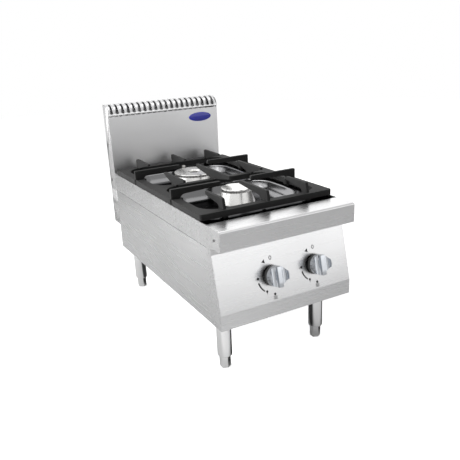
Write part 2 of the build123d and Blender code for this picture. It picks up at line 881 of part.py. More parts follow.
# Brackets that carry the manifold on the base panel
with BuildPart() as manifold_brackets:
    for x in bracket_x:
        with BuildSketch(facing_right(x, manifold_back, inlet_drop)):
            Circle(bracket_width / 2)
            bracket_height = base_top - inlet_drop
            with Locations((0, -bracket_height / 2)):
                Rectangle(bracket_width, bracket_height)
            Circle(manifold_radius + bracket_clearance, mode=Mode.SUBTRACT)
        extrude(amount=bracket_thickness)
        with BuildSketch(floor_plane(base_top, x + bracket_foot / 2, manifold_back)):
            Rectangle(bracket_foot, bracket_width)
        extrude(amount=bracket_thickness)
manifold_brackets.part.label = "manifold_brackets"
export_step(manifold_brackets.part, "parts/manifold_brackets.step")

# Valve, spindle, spring and knob behind and on the panel, once for each side
for side_name, side in valve_side.items():
    x = knob_x[side_name]
    chamber_end = valve_front + valve_wall + chamber_length
    plug_front = chamber_end + 2 * plug_clearance

    with BuildPart() as valve_body:
        with BuildSketch(control_plane(x, valve_back)):
            Circle(valve_radius)
        extrude(amount=valve_length)
        with BuildSketch(riser_plane(x, port_back, -inlet_boss_reach)):
            Circle(inlet_boss_radius)
        extrude(amount=inlet_boss_reach)
        with BuildSketch(riser_plane(x, port_back, 0)):
            Circle(outlet_boss_radius)
        extrude(amount=outlet_boss_reach)
        with BuildSketch(Plane(control_point(x, side_boss_back), x_dir=(0, 1, 0), z_dir=(side, 0, 0))):
            Circle(side_boss_radius)
        extrude(amount=side_boss_reach)
        with BuildSketch(riser_plane(x, port_back, -inlet_boss_reach)):
            Circle(port_radius)
        extrude(amount=inlet_boss_reach + outlet_boss_reach, mode=Mode.SUBTRACT)
        with BuildSketch(control_plane(x, valve_back - valve_floor)):
            Circle(plug_radius + plug_clearance)
        extrude(amount=valve_back - valve_floor - chamber_end, mode=Mode.SUBTRACT)
        with BuildSketch(control_plane(x, chamber_end)):
            Circle(chamber_radius)
        extrude(amount=chamber_length, mode=Mode.SUBTRACT)
        with BuildSketch(control_plane(x, valve_front + valve_wall)):
            Circle(spindle_radius + spindle_hole_clearance)
        extrude(amount=valve_wall, mode=Mode.SUBTRACT)
    valve_body.part.label = f"{side_name}_valve_body"
    export_step(valve_body.part, f"parts/{side_name}_valve_body.step")

    with BuildPart() as valve_plug:
        with BuildSketch(control_plane(x, plug_front + plug_length)):
            Circle(plug_radius)
        extrude(amount=plug_length)
        with BuildSketch(control_plane(x, plug_front + plug_bore_depth)):
            Circle(spindle_radius + spindle_clearance)
        extrude(amount=plug_bore_depth, mode=Mode.SUBTRACT)
        with BuildSketch(riser_plane(x, port_back, -plug_radius)):
            Circle(cross_port_radius)
        extrude(amount=2 * plug_radius, mode=Mode.SUBTRACT)
    valve_plug.part.label = f"{side_name}_valve_plug"
    export_step(valve_plug.part, f"parts/{side_name}_valve_plug.step")

    # Spindle with the collar that the spring presses against the chamber's front
    collar_front = valve_front + valve_wall + spindle_collar_gap
    spindle_end = plug_front + spindle_in_plug
    spindle_front = knob_gap + spindle_in_knob
    with BuildPart() as valve_spindle:
        with BuildSketch(control_plane(x, spindle_end)):
            Circle(spindle_radius)
        extrude(amount=spindle_end + spindle_front)
        with BuildSketch(control_plane(x, collar_front + spindle_collar_thickness)):
            Circle(spindle_collar_radius)
        extrude(amount=spindle_collar_thickness)
    valve_spindle.part.label = f"{side_name}_valve_spindle"
    export_step(valve_spindle.part, f"parts/{side_name}_valve_spindle.step")

    spring_front = collar_front + spindle_collar_thickness + spring_wire + spring_seat_gap
    spring_back = plug_front - spring_wire - spring_seat_gap
    spring_length = spring_back - spring_front
    with BuildPart() as valve_spring:
        with BuildLine():
            coil = Helix(
                spring_length / spring_turns,
                spring_length,
                spring_radius,
                center=control_point(x, spring_back),
                direction=(0, -cos(tilt), sin(tilt)),
            )
        with BuildSketch(Plane(coil @ 0, z_dir=coil % 0)):
            Circle(spring_wire)
        sweep()
    valve_spring.part.label = f"{side_name}_valve_spring"
    export_step(valve_spring.part, f"parts/{side_name}_valve_spring.step")

    with BuildPart() as knob:
        with BuildSketch(control_plane(x, -knob_gap)):
            Circle(knob_radius)
        extrude(amount=knob_depth)
        rims = knob.edges().filter_by(GeomType.CIRCLE)
        fillet(rims.sort_by_distance(control_point(x, -knob_front))[0], knob_edge)
        for scoop_side in valve_side.values():
            scoop_start = control_point(
                x + scoop_side * scoop_offset, scoop_drop - knob_front, -knob_radius
            )
            with BuildSketch(
                Plane(scoop_start, x_dir=(1, 0, 0), z_dir=(0, sin(tilt), cos(tilt)))
            ):
                Circle(scoop_radius)
                with Locations((0, -scoop_drop)):
                    Rectangle(2 * scoop_radius, 2 * scoop_drop)
            extrude(amount=2 * knob_radius, mode=Mode.SUBTRACT)
        with BuildSketch(control_plane(x, -knob_gap)):
            Circle(spindle_radius + spindle_clearance)
        extrude(amount=spindle_in_knob + spindle_collar_gap, mode=Mode.SUBTRACT)
    knob.part.label = f"{side_name}_knob"
    export_step(knob.part, f"parts/{side_name}_knob.step")

# Legs: a plate under the base, a tube and an adjustable foot, four times
leg_top = body_drop - sheet + plate_thickness
leg_bottom = hob_height - foot_height
for (end, side_name), (x, distance) in leg_places.items():
    name = f"{end}_{side_name}"
    with BuildPart() as leg_tube:
        with BuildSketch(floor_plane(leg_bottom, x, distance)):
            Circle(leg_radius)
        extrude(amount=leg_bottom - leg_top)
        chamfer(leg_tube.faces().sort_by(Axis.Z)[0].edges(), leg_chamfer)
        with BuildSketch(floor_plane(leg_bottom - leg_plug, x, distance)):
            Circle(leg_radius - leg_wall)
        extrude(amount=leg_bottom - leg_plug - leg_top, mode=Mode.SUBTRACT)
        with BuildSketch(floor_plane(leg_bottom, x, distance)):
            Circle(stem_radius + stem_clearance)
        extrude(amount=leg_plug, mode=Mode.SUBTRACT)
    leg_tube.part.label = f"{name}_leg"
    export_step(leg_tube.part, f"parts/{name}_leg.step")

    with BuildPart() as foot:
        with BuildSketch(floor_plane(hob_height, x, distance)):
            Circle(foot_radius)
            RegularPolygon(foot_flat / 2, 6, major_radius=False, mode=Mode.INTERSECT)
        extrude(amount=foot_height - foot_gap)
        chamfer(foot.faces().sort_by(Axis.Z)[0].edges(), foot_chamfer)
        with BuildSketch(floor_plane(leg_bottom + foot_gap, x, distance)):
            Circle(stem_radius)
        extrude(amount=stem_length)
    foot.part.label = f"{name}_foot"
    export_step(foot.part, f"parts/{name}_foot.step")

with BuildPart() as leg_plates:
    for (end, side_name), (x, distance) in leg_places.items():
        plate_back = distance + plate_shift[end]
        with BuildSketch(floor_plane(leg_top, x, plate_back)):
            Rectangle(plate_size, plate_size)
            with GridLocations(bolt_pitch, bolt_pitch, 2, 2):
                Circle(bolt_radius + bolt_clearance, mode=Mode.SUBTRACT)
        extrude(amount=plate_thickness)
leg_plates.part.label = "leg_plates"
export_step(leg_plates.part, "parts/leg_plates.step")

# Bolts through the plates and the base, each with its nut
with BuildPart() as leg_bolts:
    for x, distance in bolt_places:
        with BuildSketch(floor_plane(leg_top + bolt_head_height, x, distance)):
            RegularPolygon(bolt_head_radius, 6)
        extrude(amount=bolt_head_height)
        with BuildSketch(floor_plane(leg_top, x, distance)):
            Circle(bolt_radius)
        extrude(amount=plate_thickness + sheet + nut_height)
        with BuildSketch(floor_plane(base_top, x, distance)):
            RegularPolygon(bolt_head_radius, 6)
        extrude(amount=nut_height)
leg_bolts.part.label = "leg_bolts"
export_step(leg_bolts.part, "parts/leg_bolts.step")

# Flue: lower duct behind the cabinet, open at the front and the top
flue_depth = depth - cabinet_depth
flue_middle = (depth + cabinet_depth) / 2
with BuildPart() as flue_duct:
    with BuildSketch(floor_plane(duct_drop, 0, flue_middle)):
        Rectangle(width, flue_depth)
    extrude(amount=duct_drop - skirt_drop)
    with BuildSketch(floor_plane(duct_drop - sheet, 0, flue_middle - sheet / 2)):
        Rectangle(inner_width, flue_depth - sheet)
    extrude(amount=duct_drop - sheet - skirt_drop, mode=Mode.SUBTRACT)
flue_duct.part.label = "flue_duct"
export_step(flue_duct.part, "parts/flue_duct.step")

# Splash plate in front of the flue, over the hob's rear edge
with BuildPart() as flue_splash:
    with BuildSketch(floor_plane(skirt_drop, 0, cabinet_depth + sheet / 2)):
        Rectangle(width, sheet)
    extrude(amount=skirt_drop + splash_height)
flue_splash.part.label = "flue_splash"
export_step(flue_splash.part, "parts/flue_splash.step")

# Curved cover over the flue, with a row of slots
cover_arc_end = cabinet_depth + cover_radius


def cover_outline(inset):
    """Quarter round from the front edge to the flat top, and down to the flue's foot."""
    arc_centre = (back(cover_arc_end), level(-cover_start))
    with BuildSketch(Plane.YZ.offset(-width / 2)) as outline:
        with BuildLine():
            CenterArc(arc_centre, cover_radius - inset, 90, 90)
            Polyline(
                (back(cover_arc_end), level(inset - flue_top)),
                (back(depth), level(inset - flue_top)),
                (back(depth), level(skirt_drop)),
                (back(cabinet_depth + inset), level(skirt_drop)),
                (back(cabinet_depth + inset), level(-cover_start)),
            )
        make_face()
    return outline.sketch


with BuildPart() as flue_cover:
    extrude(cover_outline(0), amount=width)
    extrude(cover_outline(sheet), amount=width, mode=Mode.SUBTRACT)
    with BuildSketch(floor_plane(skirt_drop, 0, flue_middle)):
        Rectangle(width, flue_depth)
    extrude(amount=skirt_drop + cover_start, mode=Mode.SUBTRACT)
    slot_back = (cabinet_depth + depth - cover_slot_margin) / 2
    slot_run = depth - cover_slot_margin - cabinet_depth
    with BuildSketch(floor_plane(-cover_start - cover_slot_start, 0, slot_back)):
        with GridLocations(cover_slot_pitch, slot_run, cover_slot_count, 1):
            Rectangle(cover_slot_width, slot_run)
    extrude(amount=flue_top, mode=Mode.SUBTRACT)
flue_cover.part.label = "flue_cover"
export_step(flue_cover.part, "parts/flue_cover.step")

# Housing: two sides and a back between the splash and the cover
with BuildPart() as flue_housing:
    extrude(cover_outline(sheet), amount=width)
    with BuildSketch(floor_plane(skirt_drop, 0, flue_middle - sheet)):
        Rectangle(inner_width, flue_depth)
    extrude(amount=skirt_drop + flue_top, mode=Mode.SUBTRACT)
    with BuildSketch(facing_right(-width / 2, *flue_screw)):
        Circle(screw_radius + screw_clearance)
    extrude(amount=width, mode=Mode.SUBTRACT)
flue_housing.part.label = "flue_housing"
export_step(flue_housing.part, "parts/flue_housing.step")

# Blank plate in the badge's place
with BuildPart() as badge_plate:
    with BuildSketch(section_plane(cabinet_depth)):
        with Locations((badge_x, badge_height)):
            Ellipse(badge_width / 2, badge_tall / 2)
    extrude(amount=badge_thickness)
badge_plate.part.label = "badge_plate"
export_step(badge_plate.part, "parts/badge_plate.step")

# Pan support: frame, four side fingers and nine fins in one casting
frame_top = frame_lift + frame_thickness
frame_middle = (frame_front + frame_rear) / 2
crossbar_back = (burner_back["front"] + burner_back["rear"]) / 2
crossbar_front = crossbar_back - crossbar_width / 2
crossbar_rear = crossbar_back + crossbar_width / 2
opening_width = width - 2 * frame_side
opening_spans = (
    (frame_front + frame_end, crossbar_front),
    (crossbar_rear, frame_rear - frame_end),
)


def fin_outline(x, points):
    """A fin's side outline, from distances back and heights over the hob."""
    corners = [(back(distance), hob_height + height) for distance, height in points]
    with BuildSketch(Plane.YZ.offset(x)) as outline:
        with BuildLine():
            Polyline(*corners, close=True)
        make_face()
    return outline.sketch


with BuildPart() as pan_support:
    with BuildSketch(floor_plane(-frame_lift, 0, frame_middle)):
        RectangleRounded(width, frame_rear - frame_front, frame_corner)
        for start, end in opening_spans:
            with Locations((0, (start + end) / 2 - frame_middle)):
                RectangleRounded(opening_width, end - start, opening_radius, mode=Mode.SUBTRACT)
    extrude(amount=frame_thickness)
    chamfer(pan_support.faces().sort_by(Axis.Z)[-1].edges(), edge_chamfer)
    for burner in burners:
        for side in valve_side.values():
            root = opening_width / 2
            arch_end = root - finger_arch
            tip = width / 2 - finger_reach
            root_height = grate_height - finger_root_drop
            with BuildSketch(section_plane(burner_back[burner])):
                with BuildLine():
                    Polyline(
                        (side * root, frame_lift),
                        (side * width / 2, frame_lift),
                        (side * width / 2, grate_height),
                        (side * (tip + finger_tip_chamfer), grate_height),
                        (side * tip, grate_height - finger_tip_chamfer),
                        (side * tip, grate_height - finger_tip_drop),
                        (side * arch_end, root_height),
                    )
                    ThreePointArc(
                        (side * arch_end, root_height),
                        (side * (root - finger_arch / 4), root_height - finger_arch / 4),
                        (side * root, frame_lift),
                    )
                make_face()
            extrude(amount=finger_thickness / 2, both=True)
            with BuildSketch(floor_plane(-frame_lift, side * root, burner_back[burner])):
                Rectangle(2 * root_lug_reach, root_lug_width)
            extrude(amount=frame_thickness)
    for x, place in ((-fin_x, "side"), (0, "middle"), (fin_x, "side")):
        start = front_fin_start[place]
        end = front_fin_end[place]
        with BuildSketch(Plane.YZ.offset(x)):
            with BuildLine():
                Polyline(
                    (back(front_fin_arch_start), hob_height + frame_lift),
                    (back(start), hob_height + frame_lift),
                    (back(start), hob_height + frame_top),
                    (back(start + front_fin_slant), hob_height + grate_height),
                    (back(end), hob_height + grate_height),
                    (back(end), hob_height + grate_height - front_fin_tip_drop),
                )
                ThreePointArc(
                    (back(end), hob_height + grate_height - front_fin_tip_drop),
                    (
                        back((end + 2 * front_fin_arch_start) / 3),
                        hob_height + (frame_top + grate_height - front_fin_tip_drop) / 2,
                    ),
                    (back(front_fin_arch_start), hob_height + frame_lift),
                )
            make_face()
        extrude(amount=fin_thickness / 2, both=True)
        stem_front = crossbar_back - stem_width / 2
        stem_rear = crossbar_back + stem_width / 2
        tip_height = grate_height - middle_fin_tip_drop[place]
        apex_height = grate_height - middle_fin_apex_drop
        middle_fin = fin_outline(
            x,
            [
                (middle_fin_front[place], grate_height),
                (middle_fin_rear[place], grate_height),
                (middle_fin_rear[place], tip_height),
                (stem_rear, apex_height),
                (stem_rear, frame_lift),
                (stem_front, frame_lift),
                (stem_front, apex_height),
                (middle_fin_front[place], tip_height),
            ],
        )
        extrude(middle_fin, amount=fin_thickness / 2, both=True)
        rear_fin = fin_outline(
            x,
            [
                (rear_fin_start, grate_height),
                (rear_fin_end, grate_height),
                (rear_fin_end, frame_lift),
                (rear_fin_root, frame_lift),
                (rear_fin_root, frame_top),
                (rear_fin_start, grate_height - rear_fin_tip_drop),
            ],
        )
        extrude(rear_fin, amount=fin_thickness / 2, both=True)
    pad_x = width / 2 - recess_edge - foot_pad_inset - foot_pad_length / 2
    pad_places = [
        (side * fin_x, distance)
        for side in valve_side.values()
        for distance in (frame_front + foot_pad_width, frame_rear - foot_pad_width)
    ]
    for side in valve_side.values():
        pad_places += [(side * pad_x, centre) for centre in burner_back.values()]
    for x, distance in pad_places:
        with BuildSketch(floor_plane(recess_depth, x, distance)):
            Rectangle(foot_pad_length, foot_pad_width)
        extrude(amount=recess_depth + frame_lift)
pan_support.part.label = "pan_support"
export_step(pan_support.part, "parts/pan_support.step")

# Small screws: nosing ends, flue sides and under the base
with BuildPart() as case_screws:
    for side in valve_side.values():
        for distance, drop in (nose_screw, flue_screw):
            head = Plane((side * width / 2, back(distance), level(drop)), z_dir=(side, 0, 0))
            with BuildSketch(head):
                Circle(screw_head_radius)
            extrude(amount=screw_head_height)
            with BuildSketch(head):
                Circle(screw_radius)
            extrude(amount=-screw_length)
    for x, distance in base_screw_places:
        with BuildSketch(floor_plane(body_drop + screw_head_height, x, distance)):
            Circle(screw_head_radius)
        extrude(amount=screw_head_height)
        with BuildSketch(floor_plane(body_drop, x, distance)):
            Circle(screw_radius)
        extrude(amount=screw_length)
case_screws.part.label = "case_screws"
export_step(case_screws.part, "parts/case_screws.step")
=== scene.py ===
import math

import bmesh
import bpy
from bpy.props import FloatProperty, FloatVectorProperty, IntProperty, PointerProperty
from mathutils import Matrix, Vector


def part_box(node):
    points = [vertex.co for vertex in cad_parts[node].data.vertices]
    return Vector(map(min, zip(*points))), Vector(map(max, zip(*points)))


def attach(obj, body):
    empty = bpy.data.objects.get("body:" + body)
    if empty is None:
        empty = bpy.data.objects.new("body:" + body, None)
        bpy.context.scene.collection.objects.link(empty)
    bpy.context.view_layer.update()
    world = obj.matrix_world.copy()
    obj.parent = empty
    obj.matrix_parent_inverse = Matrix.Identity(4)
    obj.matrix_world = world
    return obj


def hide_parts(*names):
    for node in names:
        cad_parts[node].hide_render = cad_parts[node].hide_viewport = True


bl_info = {
    "name": "Gas boiling top",
    "version": (1, 0, 0),
    "blender": (4, 5, 0),
    "location": "View3D > Sidebar > Boiling top",
    "description": "Dresses a two-burner gas boiling top around its packed frame",
    "category": "Object",
}

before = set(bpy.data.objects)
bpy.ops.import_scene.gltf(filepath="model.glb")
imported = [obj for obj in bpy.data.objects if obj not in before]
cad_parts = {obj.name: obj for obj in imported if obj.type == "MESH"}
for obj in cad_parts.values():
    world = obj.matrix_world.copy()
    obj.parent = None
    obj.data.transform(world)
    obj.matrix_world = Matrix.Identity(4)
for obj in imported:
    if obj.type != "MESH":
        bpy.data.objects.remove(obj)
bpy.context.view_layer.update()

MM = 0.001
HOB_LOW, HOB_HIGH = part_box("hob_top")
FRONT = HOB_LOW.y
HOB = HOB_HIGH.z
HALF_WIDTH = HOB_HIGH.x
CABINET_BACK = HOB_HIGH.y - FRONT
SKIRT = HOB_HIGH.z - HOB_LOW.z
PANEL_LOW, PANEL_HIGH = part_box("front_panel")
BODY_DROP = HOB - PANEL_LOW.z
RETURN_BACK = PANEL_HIGH.y - FRONT
COVER_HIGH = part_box("flue_cover")[1]
FLUE_BACK = COVER_HIGH.y - FRONT
FLUE_TOP = COVER_HIGH.z - HOB
DUCT_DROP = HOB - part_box("flue_duct")[0].z
SPLASH_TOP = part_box("flue_splash")[1].z - HOB
SIDES = {"left": -1, "right": 1}
BURNERS = ("front", "rear")
FULL_TURN = 2 * math.pi
UP = Vector((0, 0, 1))


def length(name, description, default):
    """A size in the settings, given here in millimetres."""
    return FloatProperty(
        name=name, description=description, default=default * MM, min=0, precision=4, unit="LENGTH"
    )


def angle(name, description, default):
    """An angle in the settings, given here in degrees."""
    return FloatProperty(
        name=name, description=description, default=math.radians(default), subtype="ANGLE"
    )


def share(name, description, default):
    """A value from 0 to 1 in the settings."""
    return FloatProperty(
        name=name, description=description, default=default, min=0, max=1, subtype="FACTOR"
    )


def colour(name, description, default):
    """A colour in the settings, in linear light."""
    return FloatVectorProperty(
        name=name, description=description, default=default, min=0, max=1, subtype="COLOR"
    )


class TopSizes(bpy.types.PropertyGroup):
    """Sizes of the pressed hob top and the sheet metal around it."""

    sheet: length("Sheet", "Thickness of the stainless sheet", 1.2)
    bend: length("Bend", "Outside radius of a folded edge", 1.6)
    nose_drop: length("Nosing", "Height of the nosing's front", 52)
    nose_radius: length("Nosing edge", "Radius of the nosing's upper edge", 5)
    nose_return: length("Nosing return", "Depth of the flange under the nosing", 62)
    recess_depth: length("Recess", "Depth of the recess under the pan support", 5)
    recess_edge: length("Side rim", "Width of the rim beside the recess", 3)
    recess_rear: length("Rear rim", "Width of the rim behind the recess", 9)
    well_length: length("Well length", "Length of a well from side to side", 334)
    well_width: length("Well width", "Width of a well from front to back", 259)
    well_corner: length("Well corner", "Corner radius of a well", 62)
    well_depth: length("Well depth", "Depth of a well below the recess", 29)
    well_slope: angle("Well slope", "Steepest slope of a well's wall", 50)
    rim_radius: length("Well rim", "Radius of the pressing around a well's rim", 8)
    bowl_radius: length("Well bowl", "Radius between a well's wall and its floor", 40)
    collar_radius: length("Collar", "Radius of the raised collar round a burner", 37.2)
    collar_height: length("Collar height", "Height of the raised collar", 5)
    flange: length("Flange", "Width of the flanges of the side panels", 15)
    seam: length("Seam", "Gap between the hob's skirt and the side panels", 1)


class PanelSizes(bpy.types.PropertyGroup):
    """Sizes of the sloping control panel, its knobs and its marks."""

    top_back: length("Top edge", "How far the slope's top edge stands back", 47)
    top_drop: length("Top drop", "Drop of the slope's top edge below the hob", 71)
    lip_back: length("Lip", "How far the straight lip stands back", 11)
    lip_drop: length("Lip drop", "Drop of the lip's top below the hob", 220)
    lip_flange: length("Lip flange", "Depth of the flange under the lip", 29)
    hole_radius: length("Spindle hole", "Radius of the hole behind a knob", 7)
    knob_down: length("Knob height", "Knob's centre below the slope's top edge", 86)
    knob_gap: length("Knob gap", "Gap between a knob and the panel", 6)
    knob_radius: length("Knob radius", "Radius of a knob", 27)
    knob_depth: length("Knob depth", "Depth of a knob", 32.6)
    knob_edge: length("Knob edge", "Radius of a knob's front edge", 1.5)
    scoop_radius: length("Scoop radius", "Radius of a scoop beside the bar", 9)
    scoop_offset: length("Scoop offset", "Distance of a scoop from the knob's middle", 15.5)
    scoop_drop: length("Scoop drop", "Depth of the scoop's straight walls", 4)
    band_depth: length("Band depth", "Depth of the dark band behind the body", 10)
    ink: length("Ink", "Thickness of the printed marks", 0.15)


class FlueSizes(bpy.types.PropertyGroup):
    """Sizes of the flue's cover and its plate."""

    cover_radius: length("Cover radius", "Radius of the cover's rounded front", 34)
    slot_width: length("Slot width", "Width of a slot", 7)
    slot_pitch: length("Slot pitch", "Distance from one slot to the next", 19.6)
    slot_start: length("Slot start", "Height of the slots over the cover's front edge", 5)
    slot_margin: length("Slot margin", "Distance of the slots from the back", 13)
    slot_count: IntProperty(name="Slots", description="Number of slots", default=20, min=1)
    plate_edge: length("Plate edge", "Radius of the blank plate's edge", 0.5)


class GrateSizes(bpy.types.PropertyGroup):
    """Sizes of the pan support's casting."""

    lift: length("Lift", "Height of the frame's underside over the hob", 1)
    thickness: length("Frame thickness", "Thickness of the frame", 16)
    side_bar: length("Side bar", "Width of the frame's side bars", 25)
    end_bar: length("End bar", "Width of the frame's end bars", 22)
    crossbar: length("Crossbar", "Width of the bar between the burners", 20)
    corner: length("Corner", "Outer corner radius", 6)
    opening_corner: length("Opening corner", "Corner radius of the two openings", 50)
    height: length("Height", "Height of the bars that carry the pans", 44)
    finger: length("Finger", "Thickness of a finger", 9)
    fin: length("Fin", "Thickness of a fin", 8)
    fin_offset: length("Fin offset", "Distance of the side fins from the middle", 127)
    reach: length("Reach", "Reach of a finger from the side", 152)
    arch: length("Arch", "Radius of the arch under a finger", 16)
    edge: length("Cast edge", "Radius of the casting's edges", 1.2)


class BurnerSizes(bpy.types.PropertyGroup):
    """Sizes of the burners' crowns and caps."""

    ports: IntProperty(name="Ports", description="Number of flame ports", default=36, min=6)
    port_height: length("Port height", "Height of a flame port", 4)
    port_depth: length("Port depth", "Depth of a flame port", 3)
    crown_wall: length("Crown wall", "Width of the crown's rim", 8)
    crown_edge: length("Crown edge", "Radius of a crown's edges", 1)
    cap_edge: length("Cap edge", "Radius of a cap's edge", 2.4)


class LegSizes(bpy.types.PropertyGroup):
    """Sizes of the legs, the feet and the small screws."""

    chamfer: length("Leg end", "Rounding of a leg's lower end", 4)
    foot_flats: length("Foot flats", "Width of a foot across its flats", 27)
    foot_edge: length("Foot edge", "Rounding of a foot's lower edge", 2)
    stem_radius: length("Stem", "Radius of a foot's threaded stem", 6)
    head_radius: length("Screw head", "Radius of a screw's head", 3.5)
    head_height: length("Screw height", "Height of a screw's head", 1.8)


class Finishes(bpy.types.PropertyGroup):
    """Colours and roughness of the finishes."""

    stainless: colour("Stainless", "Colour of the stainless sheet", (0.62, 0.62, 0.625))
    stainless_roughness: share("Stainless roughness", "Roughness of the satin finish", 0.27)
    aluminium: colour("Burner", "Colour of the machined burner parts", (0.78, 0.775, 0.76))
    chrome: colour("Knob", "Colour of the knobs", (0.52, 0.54, 0.57))
    plate: colour("Plate", "Colour of the blank plate", (0.004, 0.012, 0.75))
    mark: colour("Marks", "Colour of the printed marks", (0.012, 0.012, 0.013))
    pale_mark: colour("Pale marks", "Colour of the flames' tails and the stripes", (0.3, 0.3, 0.3))
    leg: colour("Legs", "Colour of the polished legs", (0.86, 0.86, 0.86))


class StageSizes(bpy.types.PropertyGroup):
    """The camera's place, direction and lens."""

    azimuth: angle("Azimuth", "Camera's turn to the right", 28.476)
    elevation: angle("Elevation", "Camera's tilt downwards", 18.965)
    roll: angle("Roll", "Camera's roll", -2.464)
    lens: FloatProperty(name="Lens", description="Focal length in millimetres", default=43.9)
    camera_place: FloatVectorProperty(
        name="Camera", description="Place of the camera", default=(-0.7509, -1.4608, 0.83575)
    )


class BoilingTopSettings(bpy.types.PropertyGroup):
    """All the settings of the boiling top."""

    top: PointerProperty(type=TopSizes)
    panel: PointerProperty(type=PanelSizes)
    flue: PointerProperty(type=FlueSizes)
    grate: PointerProperty(type=GrateSizes)
    burner: PointerProperty(type=BurnerSizes)
    leg: PointerProperty(type=LegSizes)
    finish: PointerProperty(type=Finishes)
    stage: PointerProperty(type=StageSizes)


def spot(x, back, up):
    """A point so far behind the nosing's front and so far over the hob."""
    return Vector((x, FRONT + back, HOB + up))


def burner_centre(burner):
    """Distance of a burner's centre behind the nosing's front."""
    low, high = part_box(f"{burner}_burner_crown")
    return (low.y + high.y) / 2 - FRONT


# Mesh helpers


def polygon(bm, corners):
    """A face through the given corners."""
    return bm.faces.new([bm.verts.new(corner) for corner in corners])


def round_corners(bm, verts, radius, segments=8):
    """Rounds the corners of a flat face at the given vertices."""
    bmesh.ops.bevel(
        bm,
        geom=verts,
        offset=radius,
        offset_type="OFFSET",
        segments=segments,
        profile=0.5,
        affect="VERTICES",
        material=-1,
    )


def rounded_rectangle(bm, centre, size_x, size_y, radius, segments=8):
    """A horizontal face with rounded corners; returns the face."""
    x, y = Vector((size_x / 2, 0, 0)), Vector((0, size_y / 2, 0))
    before = set(bm.faces)
    face = polygon(bm, [centre - x - y, centre + x - y, centre + x + y, centre - x + y])
    round_corners(bm, list(face.verts), radius, segments)
    return (set(bm.faces) - before).pop()


def push_out(bm, faces, offset):
    """Extrudes faces by an offset into a closed solid."""
    grown = bmesh.ops.extrude_face_region(bm, geom=faces)["geom"]
    moved = [item for item in grown if isinstance(item, bmesh.types.BMVert)]
    bmesh.ops.translate(bm, vec=offset, verts=moved)
    return [item for item in grown if isinstance(item, bmesh.types.BMFace)]


def prism(bm, corners, across, rounded=()):
    """A closed prism from a flat outline. rounded gives (corner index, radius) pairs."""
    face = polygon(bm, corners)
    verts = list(face.verts)
    before = set(bm.faces) - {face}
    for index, radius in rounded:
        round_corners(bm, [verts[index]], radius, 6)
    face = next(f for f in bm.faces if f not in before)
    push_out(bm, [face], across)


def turn(bm, profile, centre, steps=64, closed=False):
    """Spins an outline of (radius, height) points round the upright through a centre."""
    verts = [bm.verts.new(centre + Vector((radius, 0, height))) for radius, height in profile]
    edges = [bm.edges.new(pair) for pair in zip(verts, verts[1:])]
    if closed:
        edges.append(bm.edges.new((verts[-1], verts[0])))
    bmesh.ops.spin(
        bm, geom=verts + edges, cent=centre, axis=UP, angle=FULL_TURN, steps=steps, use_merge=True
    )


def bend_edges(bm, edges, radius, segments=4):
    """Rounds edges as a folding machine does."""
    bmesh.ops.bevel(
        bm, geom=edges, offset=radius, segments=segments, profile=0.5, affect="EDGES", material=-1
    )


def point_out(bm, outwards):
    """Points an open shell's faces the way that its largest face should look."""
    bmesh.ops.recalc_face_normals(bm, faces=bm.faces)
    largest = max(bm.faces, key=lambda f: f.calc_area())
    if largest.normal.dot(outwards) < 0:
        bmesh.ops.reverse_faces(bm, faces=bm.faces)


def take_away(bm, faces):
    """Removes faces with the edges that only they use."""
    bmesh.ops.delete(bm, geom=faces, context="FACES")


def cut_across(bm, faces, point, normal):
    """Cuts faces along a plane; returns what the cut leaves."""
    geom = {item for f in faces for item in (f, *f.edges, *f.verts)}
    return bmesh.ops.bisect_plane(bm, geom=list(geom), plane_co=point, plane_no=normal)["geom"]


def fill(bm, edges, normal):
    """Fills the area between rings of edges with faces that look one way."""
    for face in bmesh.ops.triangle_fill(bm, use_beauty=True, edges=edges)["geom"]:
        if isinstance(face, bmesh.types.BMFace) and face.normal.dot(normal) < 0:
            face.normal_flip()


def tidy(bm):
    """Closes seams and poles and points the faces outwards."""
    bmesh.ops.remove_doubles(bm, verts=bm.verts, dist=0.002 * MM)
    bmesh.ops.dissolve_degenerate(bm, dist=0.001 * MM, edges=bm.edges)
    bmesh.ops.recalc_face_normals(bm, faces=bm.faces)


def finish_piece(bm, name, body, finish, replaced=(), smooth=35):
    """Makes a piece of a mesh with the finish of that name, and lets it ride on a body."""
    mesh = bpy.data.meshes.new(name)
    bm.to_mesh(mesh)
    bm.free()
    mesh.shade_smooth()
    mesh.set_sharp_from_angle(angle=math.radians(smooth))
    mesh.materials.append(finish_named(finish))
    piece = bpy.data.objects.new(name, mesh)
    bpy.context.scene.collection.objects.link(piece)
    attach(piece, body)
    if replaced:
        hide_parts(*replaced)
    return piece


def thicken(piece, sheet):
    """Gives an open shell its sheet thickness, inwards."""
    wall = piece.modifiers.new("Sheet", "SOLIDIFY")
    wall.thickness = sheet
    wall.offset = -1
    wall.use_even_offset = True
    wall.use_quality_normals = True


def soften(piece, width, segments=2, limit=35):
    """Rounds the sharp edges and keeps the flat faces flat."""
    edge = piece.modifiers.new("Edges", "BEVEL")
    edge.width = width
    edge.segments = segments
    edge.limit_method = "ANGLE"
    edge.angle_limit = math.radians(limit)
    edge.harden_normals = False
    flat = piece.modifiers.new("Flat faces", "WEIGHTED_NORMAL")
    flat.keep_sharp = True


# Finishes


def new_material(name):
    """An empty node material: returns it with its nodes, links and shader."""
    material = bpy.data.materials.new(name)
    material.use_nodes = True
    nodes, links = material.node_tree.nodes, material.node_tree.links
    return material, nodes, links, nodes["Principled BSDF"]


